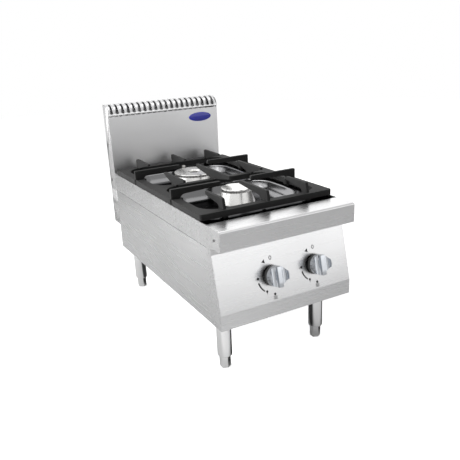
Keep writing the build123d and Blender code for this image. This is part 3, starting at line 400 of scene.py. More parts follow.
def grain(nodes, links, scale, detail=3, stretch=(1, 1, 1)):
    """A noise in the piece's own coordinates; returns its output."""
    place = nodes.new("ShaderNodeTexCoord")
    mapping = nodes.new("ShaderNodeMapping")
    mapping.inputs["Scale"].default_value = stretch
    noise = nodes.new("ShaderNodeTexNoise")
    noise.inputs["Scale"].default_value = scale
    noise.inputs["Detail"].default_value = detail
    links.new(place.outputs["Object"], mapping.inputs["Vector"])
    links.new(mapping.outputs["Vector"], noise.inputs["Vector"])
    return noise.outputs["Fac"]


def spread(nodes, links, source, low, high):
    """Maps a noise onto the range from low to high."""
    node = nodes.new("ShaderNodeMapRange")
    node.inputs["From Min"].default_value = 0.3
    node.inputs["From Max"].default_value = 0.7
    node.inputs["To Min"].default_value = low
    node.inputs["To Max"].default_value = high
    links.new(source, node.inputs["Value"])
    return node.outputs["Result"]


def tint(nodes, links, source, first, second):
    """Mixes two colours by a noise or another value from 0 to 1."""
    node = nodes.new("ShaderNodeMix")
    node.data_type = "RGBA"
    node.inputs["A"].default_value = (*first, 1)
    node.inputs["B"].default_value = (*second, 1)
    links.new(source, node.inputs["Factor"])
    return node.outputs["Result"]


def bump(nodes, links, source, height, strength=1.0):
    """Bumps the surface by a noise; returns the normal."""
    node = nodes.new("ShaderNodeBump")
    node.inputs["Strength"].default_value = strength
    node.inputs["Distance"].default_value = height
    links.new(source, node.inputs["Height"])
    return node.outputs["Normal"]


def darker(base, factor):
    """A colour times a factor."""
    return tuple(channel * factor for channel in base)


def axes(nodes, links, kind="Object"):
    """The X, Y and Z of a place or a direction."""
    place = nodes.new("ShaderNodeTexCoord")
    apart = nodes.new("ShaderNodeSeparateXYZ")
    links.new(place.outputs[kind], apart.inputs[0])
    return apart.outputs


def zone(nodes, links, source, start, end, low=0, high=1):
    """Goes smoothly from low to high while the source goes from start to end."""
    node = nodes.new("ShaderNodeMapRange")
    node.interpolation_type = "SMOOTHSTEP"
    for name, value in (("From Min", start), ("From Max", end), ("To Min", low), ("To Max", high)):
        node.inputs[name].default_value = value
    links.new(source, node.inputs["Value"])
    return node.outputs["Result"]


def calculate(nodes, links, operation, *values):
    """Joins sockets and numbers by one operation; returns the outcome."""
    node = nodes.new("ShaderNodeMath")
    node.operation = operation
    for socket, value in zip(node.inputs, values):
        if isinstance(value, (int, float)):
            socket.default_value = value
        else:
            links.new(value, socket)
    return node.outputs[0]


def mottled(nodes, links, noise, base, factor):
    """A colour that a noise mixes with the same colour times a factor."""
    return tint(nodes, links, spread(nodes, links, noise, 0, 1), base, darker(base, factor))


def dress(links, shader, colours, roughness, normal=None):
    """Links a colour, a roughness and a normal to a shader."""
    links.new(colours, shader.inputs["Base Color"])
    links.new(roughness, shader.inputs["Roughness"])
    if normal:
        links.new(normal, shader.inputs["Normal"])


def brushed_metal(name, base, roughness, stretch, scale=120, variation=0.03, height=0.002):
    """Satin metal with fine lines along the axis of the smallest stretch."""
    material, nodes, links, shader = new_material(name)
    lines = grain(nodes, links, scale, 2, stretch)
    shader.inputs["Metallic"].default_value = 1
    colours = mottled(nodes, links, grain(nodes, links, 5, 2), base, 0.95)
    uneven = spread(nodes, links, lines, roughness - variation, roughness + variation)
    dress(links, shader, colours, uneven, bump(nodes, links, lines, height * MM))
    return material


def well_metal_painted_shade(name, painted_deep_shade, painted_light_shade):
    """Steel with painted shade over the recess and the wells: deepest on the left and in a strip at the
    front, lighter on the right further back.
    """
    material, nodes, links, shader = new_material(name)
    place = axes(nodes, links)
    # Painted shade: the lighter colour only reaches the right side, behind the front strip near the pan
    # support's front bar.
    right = zone(nodes, links, place["X"], 0.02, 0.12)
    behind = zone(nodes, links, place["Y"], -0.27, -0.25)
    light_shade_zone = calculate(nodes, links, "MULTIPLY", right, behind)
    lines = grain(nodes, links, 30, 2, (0.1, 1, 1))
    shader.inputs["Metallic"].default_value = 1
    shader.inputs["Specular Tint"].default_value = (0.3, 0.3, 0.3, 1)
    # Painted shade: both colours are darker than the stainless sheet and stand in for shade in the
    # wells and under the pan support.
    colours = tint(nodes, links, light_shade_zone, painted_deep_shade, painted_light_shade)
    uneven = spread(nodes, links, lines, 0.14, 0.2)
    dress(links, shader, colours, uneven, bump(nodes, links, lines, 0.002 * MM))
    return material


def cast_metal(name, base, roughness, metallic, pits, height, specular=0.5):
    """Cast or enamelled metal with a fine uneven skin."""
    material, nodes, links, shader = new_material(name)
    clouds = grain(nodes, links, 14, 3)
    shader.inputs["Metallic"].default_value = metallic
    shader.inputs["Specular IOR Level"].default_value = specular
    colours = mottled(nodes, links, clouds, base, 1.35)
    uneven = spread(nodes, links, clouds, roughness - 0.06, roughness + 0.06)
    skin = grain(nodes, links, pits, 4)
    dress(links, shader, colours, uneven, bump(nodes, links, skin, height))
    return material


def printed(name, base):
    """Printing ink with slightly uneven gloss."""
    material, nodes, links, shader = new_material(name)
    speckle = grain(nodes, links, 900, 2)
    colours = mottled(nodes, links, speckle, base, 1.2)
    dress(links, shader, colours, spread(nodes, links, speckle, 0.4, 0.55))
    return material


def enamelled_plate(name, base):
    """Glossy enamel under a clear coat."""
    material, nodes, links, shader = new_material(name)
    clouds = grain(nodes, links, 60, 2)
    colours = mottled(nodes, links, clouds, base, 1.12)
    dress(links, shader, colours, spread(nodes, links, clouds, 0.28, 0.36))
    shader.inputs["Coat Weight"].default_value = 0.6
    shader.inputs["Coat Roughness"].default_value = 0.08
    return material


def galvanised(name, base):
    """Zinc-coated sheet with its faint spangle."""
    material, nodes, links, shader = new_material(name)
    place = nodes.new("ShaderNodeTexCoord")
    spangle = nodes.new("ShaderNodeTexVoronoi")
    spangle.inputs["Scale"].default_value = 140
    links.new(place.outputs["Object"], spangle.inputs["Vector"])
    shader.inputs["Metallic"].default_value = 1
    flakes = spangle.outputs["Distance"]
    colours = tint(nodes, links, flakes, base, darker(base, 0.82))
    dress(links, shader, colours, spread(nodes, links, flakes, 0.38, 0.52))
    return material


def finish_named(kind):
    """The finish of that name, made once."""
    made = bpy.data.materials.get(kind)
    if made:
        return made
    finish = bpy.context.scene.boiling_top.finish
    steel, rough = finish.stainless, finish.stainless_roughness
    across, along, upright = (0.02, 1, 1), (1, 0.02, 1), (1, 1, 0.02)
    round_leg, even = (1, 1, 0.05), (1, 1, 1)
    satin = (160, 0.01, 0.0003)
    recipes = {
        "satin across": (brushed_metal, steel, rough, across, *satin),
        "satin along": (brushed_metal, steel, rough, along, *satin),
        "satin upright": (brushed_metal, steel, rough, upright, *satin),
        "satin splash": (brushed_metal, steel, rough + 0.13, across, *satin),
        # Painted shade: the recess and the wells are painted darker than the stainless sheet.
        "pressed wells": (well_metal_painted_shade, (0.15, 0.15, 0.153), (0.45, 0.45, 0.46)),
        "polished leg": (brushed_metal, finish.leg, 0.1, round_leg, 200, 0.02),
        "knob metal": (brushed_metal, finish.chrome, 0.2, even, 300, 0.02),
        "screw steel": (brushed_metal, (0.2, 0.2, 0.2), 0.4, upright, 400, 0.04),
        "knob band": (cast_metal, (0.02, 0.02, 0.02), 0.35, 0, 900, 0.01 * MM),
        "turned steel": (brushed_metal, (0.58, 0.57, 0.55), 0.3, upright, 300, 0.04),
        "machined burner": (brushed_metal, finish.aluminium, 0.3, even, 160, 0.05),
        "grate enamel": (cast_metal, (0.04, 0.04, 0.04), 0.6, 0, 1100, 0.05 * MM, 0.12),
        "raw casting": (cast_metal, (0.11, 0.11, 0.11), 0.6, 0.8, 700, 0.12 * MM),
        "brass": (brushed_metal, (0.66, 0.47, 0.2), 0.28, even, 250, 0.05),
        "copper": (brushed_metal, (0.68, 0.34, 0.2), 0.3, even, 250, 0.05),
        "zinc plating": (cast_metal, (0.5, 0.5, 0.49), 0.38, 1, 500, 0.02 * MM),
        "drawn aluminium": (brushed_metal, (0.72, 0.72, 0.73), 0.3, across, 250, 0.04),
        "galvanised sheet": (galvanised, (0.55, 0.56, 0.57)),
        "blue enamel": (enamelled_plate, tuple(finish.plate)),
        "black print": (printed, tuple(finish.mark)),
        "grey print": (printed, tuple(finish.pale_mark)),
    }
    make, *values = recipes[kind]
    return make(kind, *values)


# Sheet metal


def hob_shell(bm, top):
    """The folded outside of the hob top: nosing, sides, rear and the flat around the recess."""
    side = [
        spot(-HALF_WIDTH, 0, 0),
        spot(-HALF_WIDTH, 0, -top.nose_drop),
        spot(-HALF_WIDTH, RETURN_BACK, -top.nose_drop),
        spot(-HALF_WIDTH, RETURN_BACK, -SKIRT),
        spot(-HALF_WIDTH, CABINET_BACK, -SKIRT),
        spot(-HALF_WIDTH, CABINET_BACK, 0),
    ]
    push_out(bm, [polygon(bm, side)], Vector((2 * HALF_WIDTH, 0, 0)))
    tidy(bm)
    steps_back = FRONT + RETURN_BACK
    bottoms = [
        f
        for f in bm.faces
        if f.normal.z < -0.5
        or (abs(f.normal.y) > 0.5 and abs(f.calc_center_median().y - steps_back) < 0.1 * MM)
    ]
    flange = [f for f in bottoms if f.calc_center_median().y < steps_back - 1 * MM]
    take_away(bm, [f for f in bottoms if f not in flange])
    cut = cut_across(bm, flange, spot(0, top.nose_return, 0), (0, 1, 0))
    faces = [item for item in cut if isinstance(item, bmesh.types.BMFace)]
    end = FRONT + top.nose_return
    take_away(bm, [f for f in faces if f.calc_center_median().y > end])


def level_tops(bm):
    """The level faces at the hob's height."""
    return [f for f in bm.faces if f.normal.z > 0.99 and abs(f.verts[0].co.z - HOB) < MM]


def cut_recess(bm, top):
    """Cuts the recess into the flat top, and returns the wells' outlines in its floor."""
    recess_x = HALF_WIDTH - top.recess_edge
    recess_back = CABINET_BACK - top.recess_rear
    lines = (
        (spot(-recess_x, 0, 0), (1, 0, 0)),
        (spot(recess_x, 0, 0), (1, 0, 0)),
        (spot(0, RETURN_BACK, 0), (0, 1, 0)),
        (spot(0, recess_back, 0), (0, 1, 0)),
    )
    for point, normal in lines:
        cut_across(bm, level_tops(bm), point, normal)
    middle = spot(0, (RETURN_BACK + recess_back) / 2, 0)
    lid = min(level_tops(bm), key=lambda f: (f.calc_center_median() - middle).length)
    floor = push_out(bm, [lid], -UP * top.recess_depth)[0]
    rim = list(floor.edges)
    bmesh.ops.delete(bm, geom=[lid, floor], context="FACES_ONLY")
    wells = []
    for burner in BURNERS:
        well = rounded_rectangle(
            bm,
            spot(0, burner_centre(burner), -top.recess_depth),
            top.well_length,
            top.well_width,
            top.well_corner,
            12,
        )
        wells.append(well)
        rim += list(well.edges)
    fill(bm, rim, UP)
    return wells


def press_well(bm, well, burner, top):
    """Presses one well: a rounded rim, a sloping wall, a soft bowl and the burner's collar."""
    if well.normal.z < 0:
        well.normal_flip()
    slope = top.well_slope
    rounding = top.rim_radius + top.bowl_radius
    wall = (top.well_depth - rounding * (1 - math.cos(slope))) / math.sin(slope)
    steps = 6
    runs = []
    for index in range(steps):
        start, end = slope * index / steps, slope * (index + 1) / steps
        runs.append(
            (
                top.rim_radius * (math.sin(end) - math.sin(start)),
                top.rim_radius * (math.cos(start) - math.cos(end)),
            )
        )
    runs.append((wall * math.cos(slope), wall * math.sin(slope)))
    for index in range(steps):
        start, end = slope * (1 - index / steps), slope * (1 - (index + 1) / steps)
        runs.append(
            (
                top.bowl_radius * (math.sin(start) - math.sin(end)),
                top.bowl_radius * (math.cos(end) - math.cos(start)),
            )
        )
    for run, drop in runs:
        bmesh.ops.inset_region(
            bm, faces=[well], thickness=run, depth=-drop, use_even_offset=True, use_boundary=True
        )
    floor_edges = list(well.edges)
    bmesh.ops.delete(bm, geom=[well], context="FACES_ONLY")
    floor_height = -top.recess_depth - top.well_depth
    collar = bmesh.ops.create_circle(
        bm,
        segments=64,
        radius=top.collar_radius,
        matrix=Matrix.Translation(spot(0, burner_centre(burner), floor_height)),
    )["verts"]
    ring = list({edge for vert in collar for edge in vert.link_edges})
    fill(bm, floor_edges + ring, UP)
    grown = bmesh.ops.extrude_edge_only(bm, edges=ring)["geom"]
    lip = [item for item in grown if isinstance(item, bmesh.types.BMVert)]
    bmesh.ops.translate(bm, vec=UP * top.collar_height, verts=lip)


class BOILING_TOP_OT_hob_top(bpy.types.Operator):
    """Make the pressed hob top with its nosing, recess and wells"""

    bl_idname = "boiling_top.hob_top"
    bl_label = "Hob top"

    def execute(self, context):
        settings = context.scene.boiling_top
        top = settings.top
        bm = bmesh.new()
        hob_shell(bm, top)
        nose = [
            e
            for e in bm.edges
            if all(abs(v.co.y - FRONT) < MM and abs(v.co.z - HOB) < MM for v in e.verts)
        ]
        bend_edges(bm, nose, top.nose_radius, 6)
        wells = cut_recess(bm, top)
        for burner, well in zip(BURNERS, wells):
            press_well(bm, well, burner, top)
        bmesh.ops.remove_doubles(bm, verts=bm.verts, dist=0.002 * MM)
        bmesh.ops.recalc_face_normals(bm, faces=bm.faces)
        highest = max(bm.faces, key=lambda f: f.calc_center_median().z)
        if highest.normal.z < 0:
            bmesh.ops.reverse_faces(bm, faces=bm.faces)
        # The recess floor and the wells take the second finish, which has painted shade.
        for face in bm.faces:
            drop = HOB - face.calc_center_median().z
            inside = abs(face.calc_center_median().x) < HALF_WIDTH - top.recess_edge
            if inside and face.normal.z > 0.1 and drop > top.recess_depth * 0.9:
                face.material_index = 1
        piece = finish_piece(bm, "pressed_hob_top", "root", "satin across", ["hob_top"])
        piece.data.materials.append(finish_named("pressed wells"))
        thicken(piece, top.sheet)
        soften(piece, top.sheet * 0.4, 2, 50)
        return {"FINISHED"}


class BOILING_TOP_OT_side_panels(bpy.types.Operator):
    """Make the two side panels of the cabinet"""

    bl_idname = "boiling_top.side_panels"
    bl_label = "Side panels"

    def execute(self, context):
        settings = context.scene.boiling_top
        top = settings.top
        for name, side in SIDES.items():
            bm = bmesh.new()
            x = side * HALF_WIDTH
            low, high = -BODY_DROP, -SKIRT - top.seam
            front, rear = RETURN_BACK + top.seam / 2, CABINET_BACK - top.seam / 2
            face = polygon(
                bm, [spot(x, front, low), spot(x, rear, low), spot(x, rear, high), spot(x, front, high)]
            )
            bends = list(face.edges)
            inner = push_out(bm, [face], Vector((-side * top.flange, 0, 0)))
            take_away(bm, inner)
            bend_edges(bm, bends, top.bend)
            point_out(bm, Vector((side, 0, 0)))
            piece = finish_piece(
                bm, f"{name}_cabinet_side", "root", "satin along", [f"{name}_side_panel"]
            )
            thicken(piece, top.sheet)
        return {"FINISHED"}


def slope_frame(panel, x, down):
    """The frame of a point on the slope: right, up the slope, and out of it."""
    run = panel.top_back - panel.lip_back
    drop = panel.lip_drop - panel.top_drop
    tilt = math.atan2(run, drop)
    along = Vector((0, math.sin(tilt), math.cos(tilt)))
    out = Vector((0, -math.cos(tilt), math.sin(tilt)))
    turned = Matrix((Vector((1, 0, 0)), along, out)).transposed().to_4x4()
    origin = spot(x, panel.top_back, -panel.top_drop) - along * down
    return Matrix.Translation(origin) @ turned


def knob_x(name):
    """A knob's place from left to right."""
    low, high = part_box(f"{name}_knob")
    return (low.x + high.x) / 2


def cut_holes(bm, face, rings):
    """Opens round holes in a flat face. rings are lists of vertices in its plane."""
    normal = face.normal.copy()
    rim = list(face.edges)
    bmesh.ops.delete(bm, geom=[face], context="FACES_ONLY")
    for ring in rings:
        rim += list({edge for vert in ring for edge in vert.link_edges})
    fill(bm, rim, normal)


class BOILING_TOP_OT_front_panel(bpy.types.Operator):
    """Make the sloping control panel with its straight lip"""

    bl_idname = "boiling_top.front_panel"
    bl_label = "Front panel"

    def execute(self, context):
        settings = context.scene.boiling_top
        top, panel = settings.top, settings.panel
        bm = bmesh.new()
        x = -HALF_WIDTH
        outline = [
            spot(x, RETURN_BACK, -top.nose_drop),
            spot(x, panel.top_back, -top.nose_drop),
            spot(x, panel.top_back, -panel.top_drop),
            spot(x, panel.lip_back, -panel.lip_drop),
            spot(x, panel.lip_back, -BODY_DROP),
            spot(x, RETURN_BACK, -BODY_DROP),
        ]
        push_out(bm, [polygon(bm, outline)], Vector((2 * HALF_WIDTH, 0, 0)))
        tidy(bm)
        open_back = [
            f
            for f in bm.faces
            if f.normal.y > 0.9 or (f.normal.z > 0.9 and f.calc_center_median().z > HOB - SKIRT)
        ]
        take_away(bm, open_back)
        bottom = [f for f in bm.faces if f.normal.z < -0.9]
        flange_back = panel.lip_back + panel.lip_flange
        cut_across(bm, bottom, spot(0, flange_back, 0), (0, 1, 0))
        bottom = [f for f in bm.faces if f.normal.z < -0.9]
        take_away(bm, [f for f in bottom if f.calc_center_median().y > FRONT + flange_back])
        bmesh.ops.recalc_face_normals(bm, faces=bm.faces)
        folds = [
            e
            for e in bm.edges
            if len(e.link_faces) == 2
            and abs(e.verts[0].co.x - e.verts[1].co.x) > HALF_WIDTH
            and abs(e.link_faces[0].normal.angle(e.link_faces[1].normal)) > math.radians(5)
        ]
        bend_edges(bm, folds, top.bend)
        bm.normal_update()
        slope = max(bm.faces, key=lambda f: f.calc_area() * (0.1 < f.normal.z < 0.5))
        rings = []
        for name in SIDES:
            ring = bmesh.ops.create_circle(
                bm,
                segments=32,
                radius=panel.hole_radius,
                matrix=slope_frame(panel, knob_x(name), panel.knob_down),
            )
            rings.append(ring["verts"])
        cut_holes(bm, slope, rings)
        point_out(bm, Vector((0, -1, 0)))
        piece = finish_piece(bm, "control_panel", "root", "satin across", ["front_panel"])
        thicken(piece, top.sheet)
        soften(piece, top.sheet * 0.4, 2, 50)
        return {"FINISHED"}


def flue_side_outline(x, inset):
    """The outline of the flue's side, smaller than the cover by an inset."""
    return [
        spot(x, CABINET_BACK + inset, -SKIRT),
        spot(x, FLUE_BACK, -SKIRT),
        spot(x, FLUE_BACK, FLUE_TOP - inset),
        spot(x, CABINET_BACK + inset, FLUE_TOP - inset),
    ]


class BOILING_TOP_OT_flue(bpy.types.Operator):
    """Make the flue: splash plate, housing, duct and slotted cover"""

    bl_idname = "boiling_top.flue"
    bl_label = "Flue"

    def execute(self, context):
        settings = context.scene.boiling_top
        self.splash(settings)
        self.housing(settings)
        self.duct(settings)
        self.cover(settings)
        return {"FINISHED"}

    def splash(self, settings):
        """The flat plate between the hob and the cover."""
        sheet = settings.top.sheet
        bm = bmesh.new()
        corners = [
            spot(-HALF_WIDTH, CABINET_BACK, -SKIRT),
            spot(HALF_WIDTH, CABINET_BACK, -SKIRT),
            spot(HALF_WIDTH, CABINET_BACK, SPLASH_TOP),
            spot(-HALF_WIDTH, CABINET_BACK, SPLASH_TOP),
        ]
        prism(bm, corners, Vector((0, sheet, 0)))
        tidy(bm)
        piece = finish_piece(bm, "splash_plate", "root", "satin splash", ["flue_splash"])
        soften(piece, sheet * 0.35, 2)

    def housing(self, settings):
        """The housing's two sides and its back."""
        top, flue = settings.top, settings.flue
        bm = bmesh.new()
        inset = 1.2 * top.sheet
        corners = flue_side_outline(-HALF_WIDTH, inset)
        across = Vector((2 * HALF_WIDTH, 0, 0))
        prism(bm, corners, across, [(3, flue.cover_radius - inset)])
        tidy(bm)
        take_away(bm, [f for f in bm.faces if abs(f.normal.x) < 0.5 and f.normal.y < 0.9])
        back_edges = [
            e
            for e in bm.edges
            if len(e.link_faces) == 2 and abs(e.verts[0].co.z - e.verts[1].co.z) > 50 * MM
        ]
        bend_edges(bm, back_edges, top.bend)
        point_out(bm, Vector((0, 1, 0)))
        piece = finish_piece(bm, "flue_box", "root", "satin upright", ["flue_housing"])
        thicken(piece, top.sheet)

    def duct(self, settings):
        """The short duct under the housing, open above and below."""
        top = settings.top
        bm = bmesh.new()
        low = spot(-HALF_WIDTH, CABINET_BACK + top.seam / 2, -DUCT_DROP)
        high = -SKIRT - top.seam
        corners = [
            low,
            spot(HALF_WIDTH, CABINET_BACK + top.seam / 2, -DUCT_DROP),
            spot(HALF_WIDTH, FLUE_BACK, -DUCT_DROP),
            spot(-HALF_WIDTH, FLUE_BACK, -DUCT_DROP),
        ]
        face = polygon(bm, corners)
        push_out(bm, [face], UP * (high + DUCT_DROP))
        tidy(bm)
        take_away(bm, [f for f in bm.faces if abs(f.normal.z) > 0.9])
        bend_edges(bm, [e for e in bm.edges if len(e.link_faces) == 2], top.bend)
        bmesh.ops.recalc_face_normals(bm, faces=bm.faces)
        backmost = max(bm.faces, key=lambda f: f.calc_center_median().y)
        if backmost.normal.y < 0:
            bmesh.ops.reverse_faces(bm, faces=bm.faces)
        piece = finish_piece(bm, "flue_lower_duct", "root", "satin across", ["flue_duct"])
        thicken(piece, top.sheet)

    def cover(self, settings):
        """The rounded cover: a flat slotted sheet that is folded step by step."""
        top, flue = settings.top, settings.flue
        bm = bmesh.new()
        start = FLUE_TOP - flue.cover_radius
        arc = flue.cover_radius * math.pi / 2
        flat = FLUE_BACK - CABINET_BACK - flue.cover_radius
        corners = [
            spot(-HALF_WIDTH, CABINET_BACK, start),
            spot(HALF_WIDTH, CABINET_BACK, start),
            spot(HALF_WIDTH, CABINET_BACK, start + arc + flat),
            spot(-HALF_WIDTH, CABINET_BACK, start + arc + flat),
        ]
        sheet = polygon(bm, corners)
        sheet.normal_update()
        slot_end = arc + flat - flue.slot_margin
        slot_middle = (flue.slot_start + slot_end) / 2
        rings = []
        for index in range(flue.slot_count):
            x = (index - (flue.slot_count - 1) / 2) * flue.slot_pitch
            rings.append(
                slot_ring(
                    bm,
                    spot(x, CABINET_BACK, start + slot_middle),
                    flue.slot_width / 2,
                    (slot_end - flue.slot_start) / 2 - flue.slot_width / 2,
                )
            )
        cut_holes(bm, sheet, rings)
        steps = 12
        run = arc / steps
        for index in range(steps):
            bmesh.ops.bisect_plane(
                bm,
                geom=bm.verts[:] + bm.edges[:] + bm.faces[:],
                plane_co=spot(0, CABINET_BACK, start + run * (index + 0.5)),
                plane_no=UP,
            )
        fold = math.pi / 2 / steps
        place = Vector((0, 0, 0)) + spot(0, CABINET_BACK, start + run / 2)
        direction = UP.copy()
        remaining = [v for v in bm.verts if v.co.z > place.z + 0.001 * MM]
        for index in range(steps):
            turned = Matrix.Rotation(-fold, 3, "X")
            bmesh.ops.rotate(bm, cent=place, matrix=turned, verts=remaining)
            direction = turned @ direction
            crease = place + direction * run
            remaining = [v for v in remaining if (v.co - crease).dot(direction) > 0.001 * MM]
            place = crease
        point_out(bm, Vector((0, -1, 1)))
        piece = finish_piece(bm, "slotted_cover", "root", "satin across", ["flue_cover"])
        thicken(piece, top.sheet)


def slot_ring(bm, centre, radius, reach):
    """A ring of edges round an upright slot with round ends, facing the front."""
    facing = Matrix.Translation(centre) @ Matrix.Rotation(math.pi / 2, 4, "X")
    verts = bmesh.ops.create_circle(bm, segments=16, radius=radius, matrix=facing)["verts"]
    upper = [v for v in verts if v.co.z > centre.z + 0.001 * MM]
    lower = [v for v in verts if v.co.z < centre.z - 0.001 * MM]
    bmesh.ops.translate(bm, vec=UP * reach, verts=upper)
    bmesh.ops.translate(bm, vec=-UP * reach, verts=lower)
    return verts


class BOILING_TOP_OT_badge(bpy.types.Operator):
    """Make the blank plate on the splash"""

    bl_idname = "boiling_top.badge"
    bl_label = "Blank plate"

    def execute(self, context):
        settings = context.scene.boiling_top
        low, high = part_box("badge_plate")
        size = high - low
        facing = Matrix.Translation(((low.x + high.x) / 2, high.y, (low.z + high.z) / 2))
        facing = facing @ Matrix.Rotation(math.pi / 2, 4, "X")
        bm = bmesh.new()
        steps = 96
        turns = [FULL_TURN * step / steps for step in range(steps)]
        face = polygon(
            bm, [Vector((size.x / 2 * math.cos(a), size.z / 2 * math.sin(a), 0)) for a in turns]
        )
        push_out(bm, [face], UP * size.y)
        tidy(bm)
        rim = [e for e in bm.edges if all(v.co.z > size.y * 0.9 for v in e.verts)]
        bend_edges(bm, rim, settings.flue.plate_edge, 3)
        bmesh.ops.transform(bm, matrix=facing, verts=bm.verts)
        bmesh.ops.recalc_face_normals(bm, faces=bm.faces)
        finish_piece(bm, "blank_plate", "root", "blue enamel", ["badge_plate"])
        return {"FINISHED"}


class BOILING_TOP_OT_burner_crowns(bpy.types.Operator):
    """Make the burners' crowns with their rows of ports"""

    bl_idname = "boiling_top.burner_crowns"
    bl_label = "Burner crowns"

    def execute(self, context):
        settings = context.scene.boiling_top
        burner = settings.burner
        for name in BURNERS:
            low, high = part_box(f"{name}_burner_crown")
            cap_low, cap_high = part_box(f"{name}_burner_cap")
            base_radius = (high.x - low.x) / 2
            rim_radius = (cap_high.x - cap_low.x) / 2
            rim_radius -= 1 * MM if name == "front" else 2 * MM
            foot, rim = low.z - HOB, high.z - HOB
            port_low = rim - burner.port_height
            inner = rim_radius - burner.crown_wall
            bore = 28 * MM
            centre = spot(0, burner_centre(name), 0)
            bm = bmesh.new()
            outline = [
                (bore, foot),
                (base_radius - burner.crown_edge, foot),
                (base_radius, foot + burner.crown_edge),
                (base_radius, foot + 3 * MM),
                (base_radius - 0.6 * MM, foot + 4 * MM),
                (rim_radius + 0.5 * MM, port_low - 0.6 * MM),
                (rim_radius, port_low),
                (rim_radius, rim),
                (inner, rim),
                (inner, port_low - 2 * MM),
                (bore, port_low - 4 * MM),
            ]
            turn(bm, outline, centre, 2 * burner.ports, True)
            tidy(bm)
            self.ports(bm, burner, centre, rim_radius, (port_low + rim) / 2)
            finish_piece(
                bm,
                f"{name}_flame_crown",
                "root",
                "machined burner",
                [f"{name}_burner_crown"],
            )
        return {"FINISHED"}

    def ports(self, bm, burner, centre, radius, height):
        """Opens every second face of the crown's rim as a flame port."""
        rim = [
            f
            for f in bm.faces
            if abs(f.calc_center_median().z - HOB - height) < 0.5 * MM
            and (f.calc_center_median() - centre).xy.length > radius - 1 * MM
        ]
        rim.sort(key=lambda f: math.atan2(*(f.calc_center_median() - centre).xy))
        ports = rim[::2]
        bmesh.ops.inset_individual(bm, faces=ports, thickness=0.45 * MM, use_even_offset=True)
        bmesh.ops.inset_individual(bm, faces=ports, thickness=0, depth=-burner.port_depth)


class BOILING_TOP_OT_burner_caps(bpy.types.Operator):
    """Make the burners' caps, which lift off"""

    bl_idname = "boiling_top.burner_caps"
    bl_label = "Burner caps"

    def execute(self, context):
        settings = context.scene.boiling_top
        edge = settings.burner.cap_edge
        for name in BURNERS:
            low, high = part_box(f"{name}_burner_cap")
            crown_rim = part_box(f"{name}_burner_crown")[1].z - HOB
            radius = (high.x - low.x) / 2
            top = high.z - HOB
            under = crown_rim + 0.3 * MM
            locating = 26 * MM
            spigot = crown_rim - 3 * MM
            if name == "front":
                upper = [(0, top), (radius - 8 * MM, top), (radius - edge, top - 0.1 * MM)]
            else:
                upper = [
                    (0, top - 5 * MM),
                    (17 * MM, top - 5 * MM),
                    (19.3 * MM, top - 4.2 * MM),
                    (20.4 * MM, top - 1.2 * MM),
                    (22 * MM, top),
                    (radius - edge, top - 0.1 * MM),
                ]
            rounded = [
                (
                    radius - edge + edge * math.sin(math.radians(step)),
                    top - edge + edge * math.cos(math.radians(step)),
                )
                for step in (22, 45, 68, 90)
            ]
            lower = [
                (radius, under + 1 * MM),
                (radius - 1 * MM, under),
                (locating, under),
                (locating, spigot),
                (locating - 2 * MM, spigot),
                (locating - 2 * MM, under),
                (0, under),
            ]
            bm = bmesh.new()
            turn(bm, upper + rounded + lower, spot(0, burner_centre(name), 0), 96)
            tidy(bm)
            finish_piece(
                bm,
                f"{name}_flame_cap",
                f"{name}_cap",
                "machined burner",
                [f"{name}_burner_cap"],
            )
        return {"FINISHED"}


class BOILING_TOP_OT_pilots(bpy.types.Operator):
    """Make the pilot burners beside the two burners"""

    bl_idname = "boiling_top.pilots"
    bl_label = "Pilot burners"

    def execute(self, context):
        settings = context.scene.boiling_top
        for name in BURNERS:
            low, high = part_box(f"{name}_pilot_burner")
            middle = (low + high) / 2
            top, foot = high.z - HOB, low.z - HOB
            centre = Vector((middle.x, middle.y, HOB))
            hood, stem, body, nut_radius = 6.5 * MM, 3 * MM, 5 * MM, 9 * MM
            well_floor = -settings.top.recess_depth - settings.top.well_depth
            bm = bmesh.new()
            outline = [
                (0, foot),
                (stem, foot),
                (stem, well_floor - 4 * MM),
                (body, well_floor - 3 * MM),
                (body, top - 8 * MM),
                (body - 1 * MM, top - 7 * MM),
                (body - 1 * MM, top - 6 * MM),
                (hood, top - 5.4 * MM),
                (hood, top - 1.5 * MM),
                (hood - 0.6 * MM, top - 0.5 * MM),
                (hood - 2 * MM, top),
                (0, top),
            ]
            turn(bm, outline, centre, 36)
            nut = bmesh.ops.create_circle(
                bm,
                cap_ends=True,
                segments=6,
                radius=nut_radius,
                matrix=Matrix.Translation(centre + UP * well_floor),
            )["verts"]
            push_out(bm, [nut[0].link_faces[0]], UP * 3 * MM)
            tidy(bm)
            piece = finish_piece(
                bm,
                f"{name}_pilot_head",
                "root",
                "turned steel",
                [f"{name}_pilot_burner"],
            )
            soften(piece, 0.25 * MM, 2)
        return {"FINISHED"}


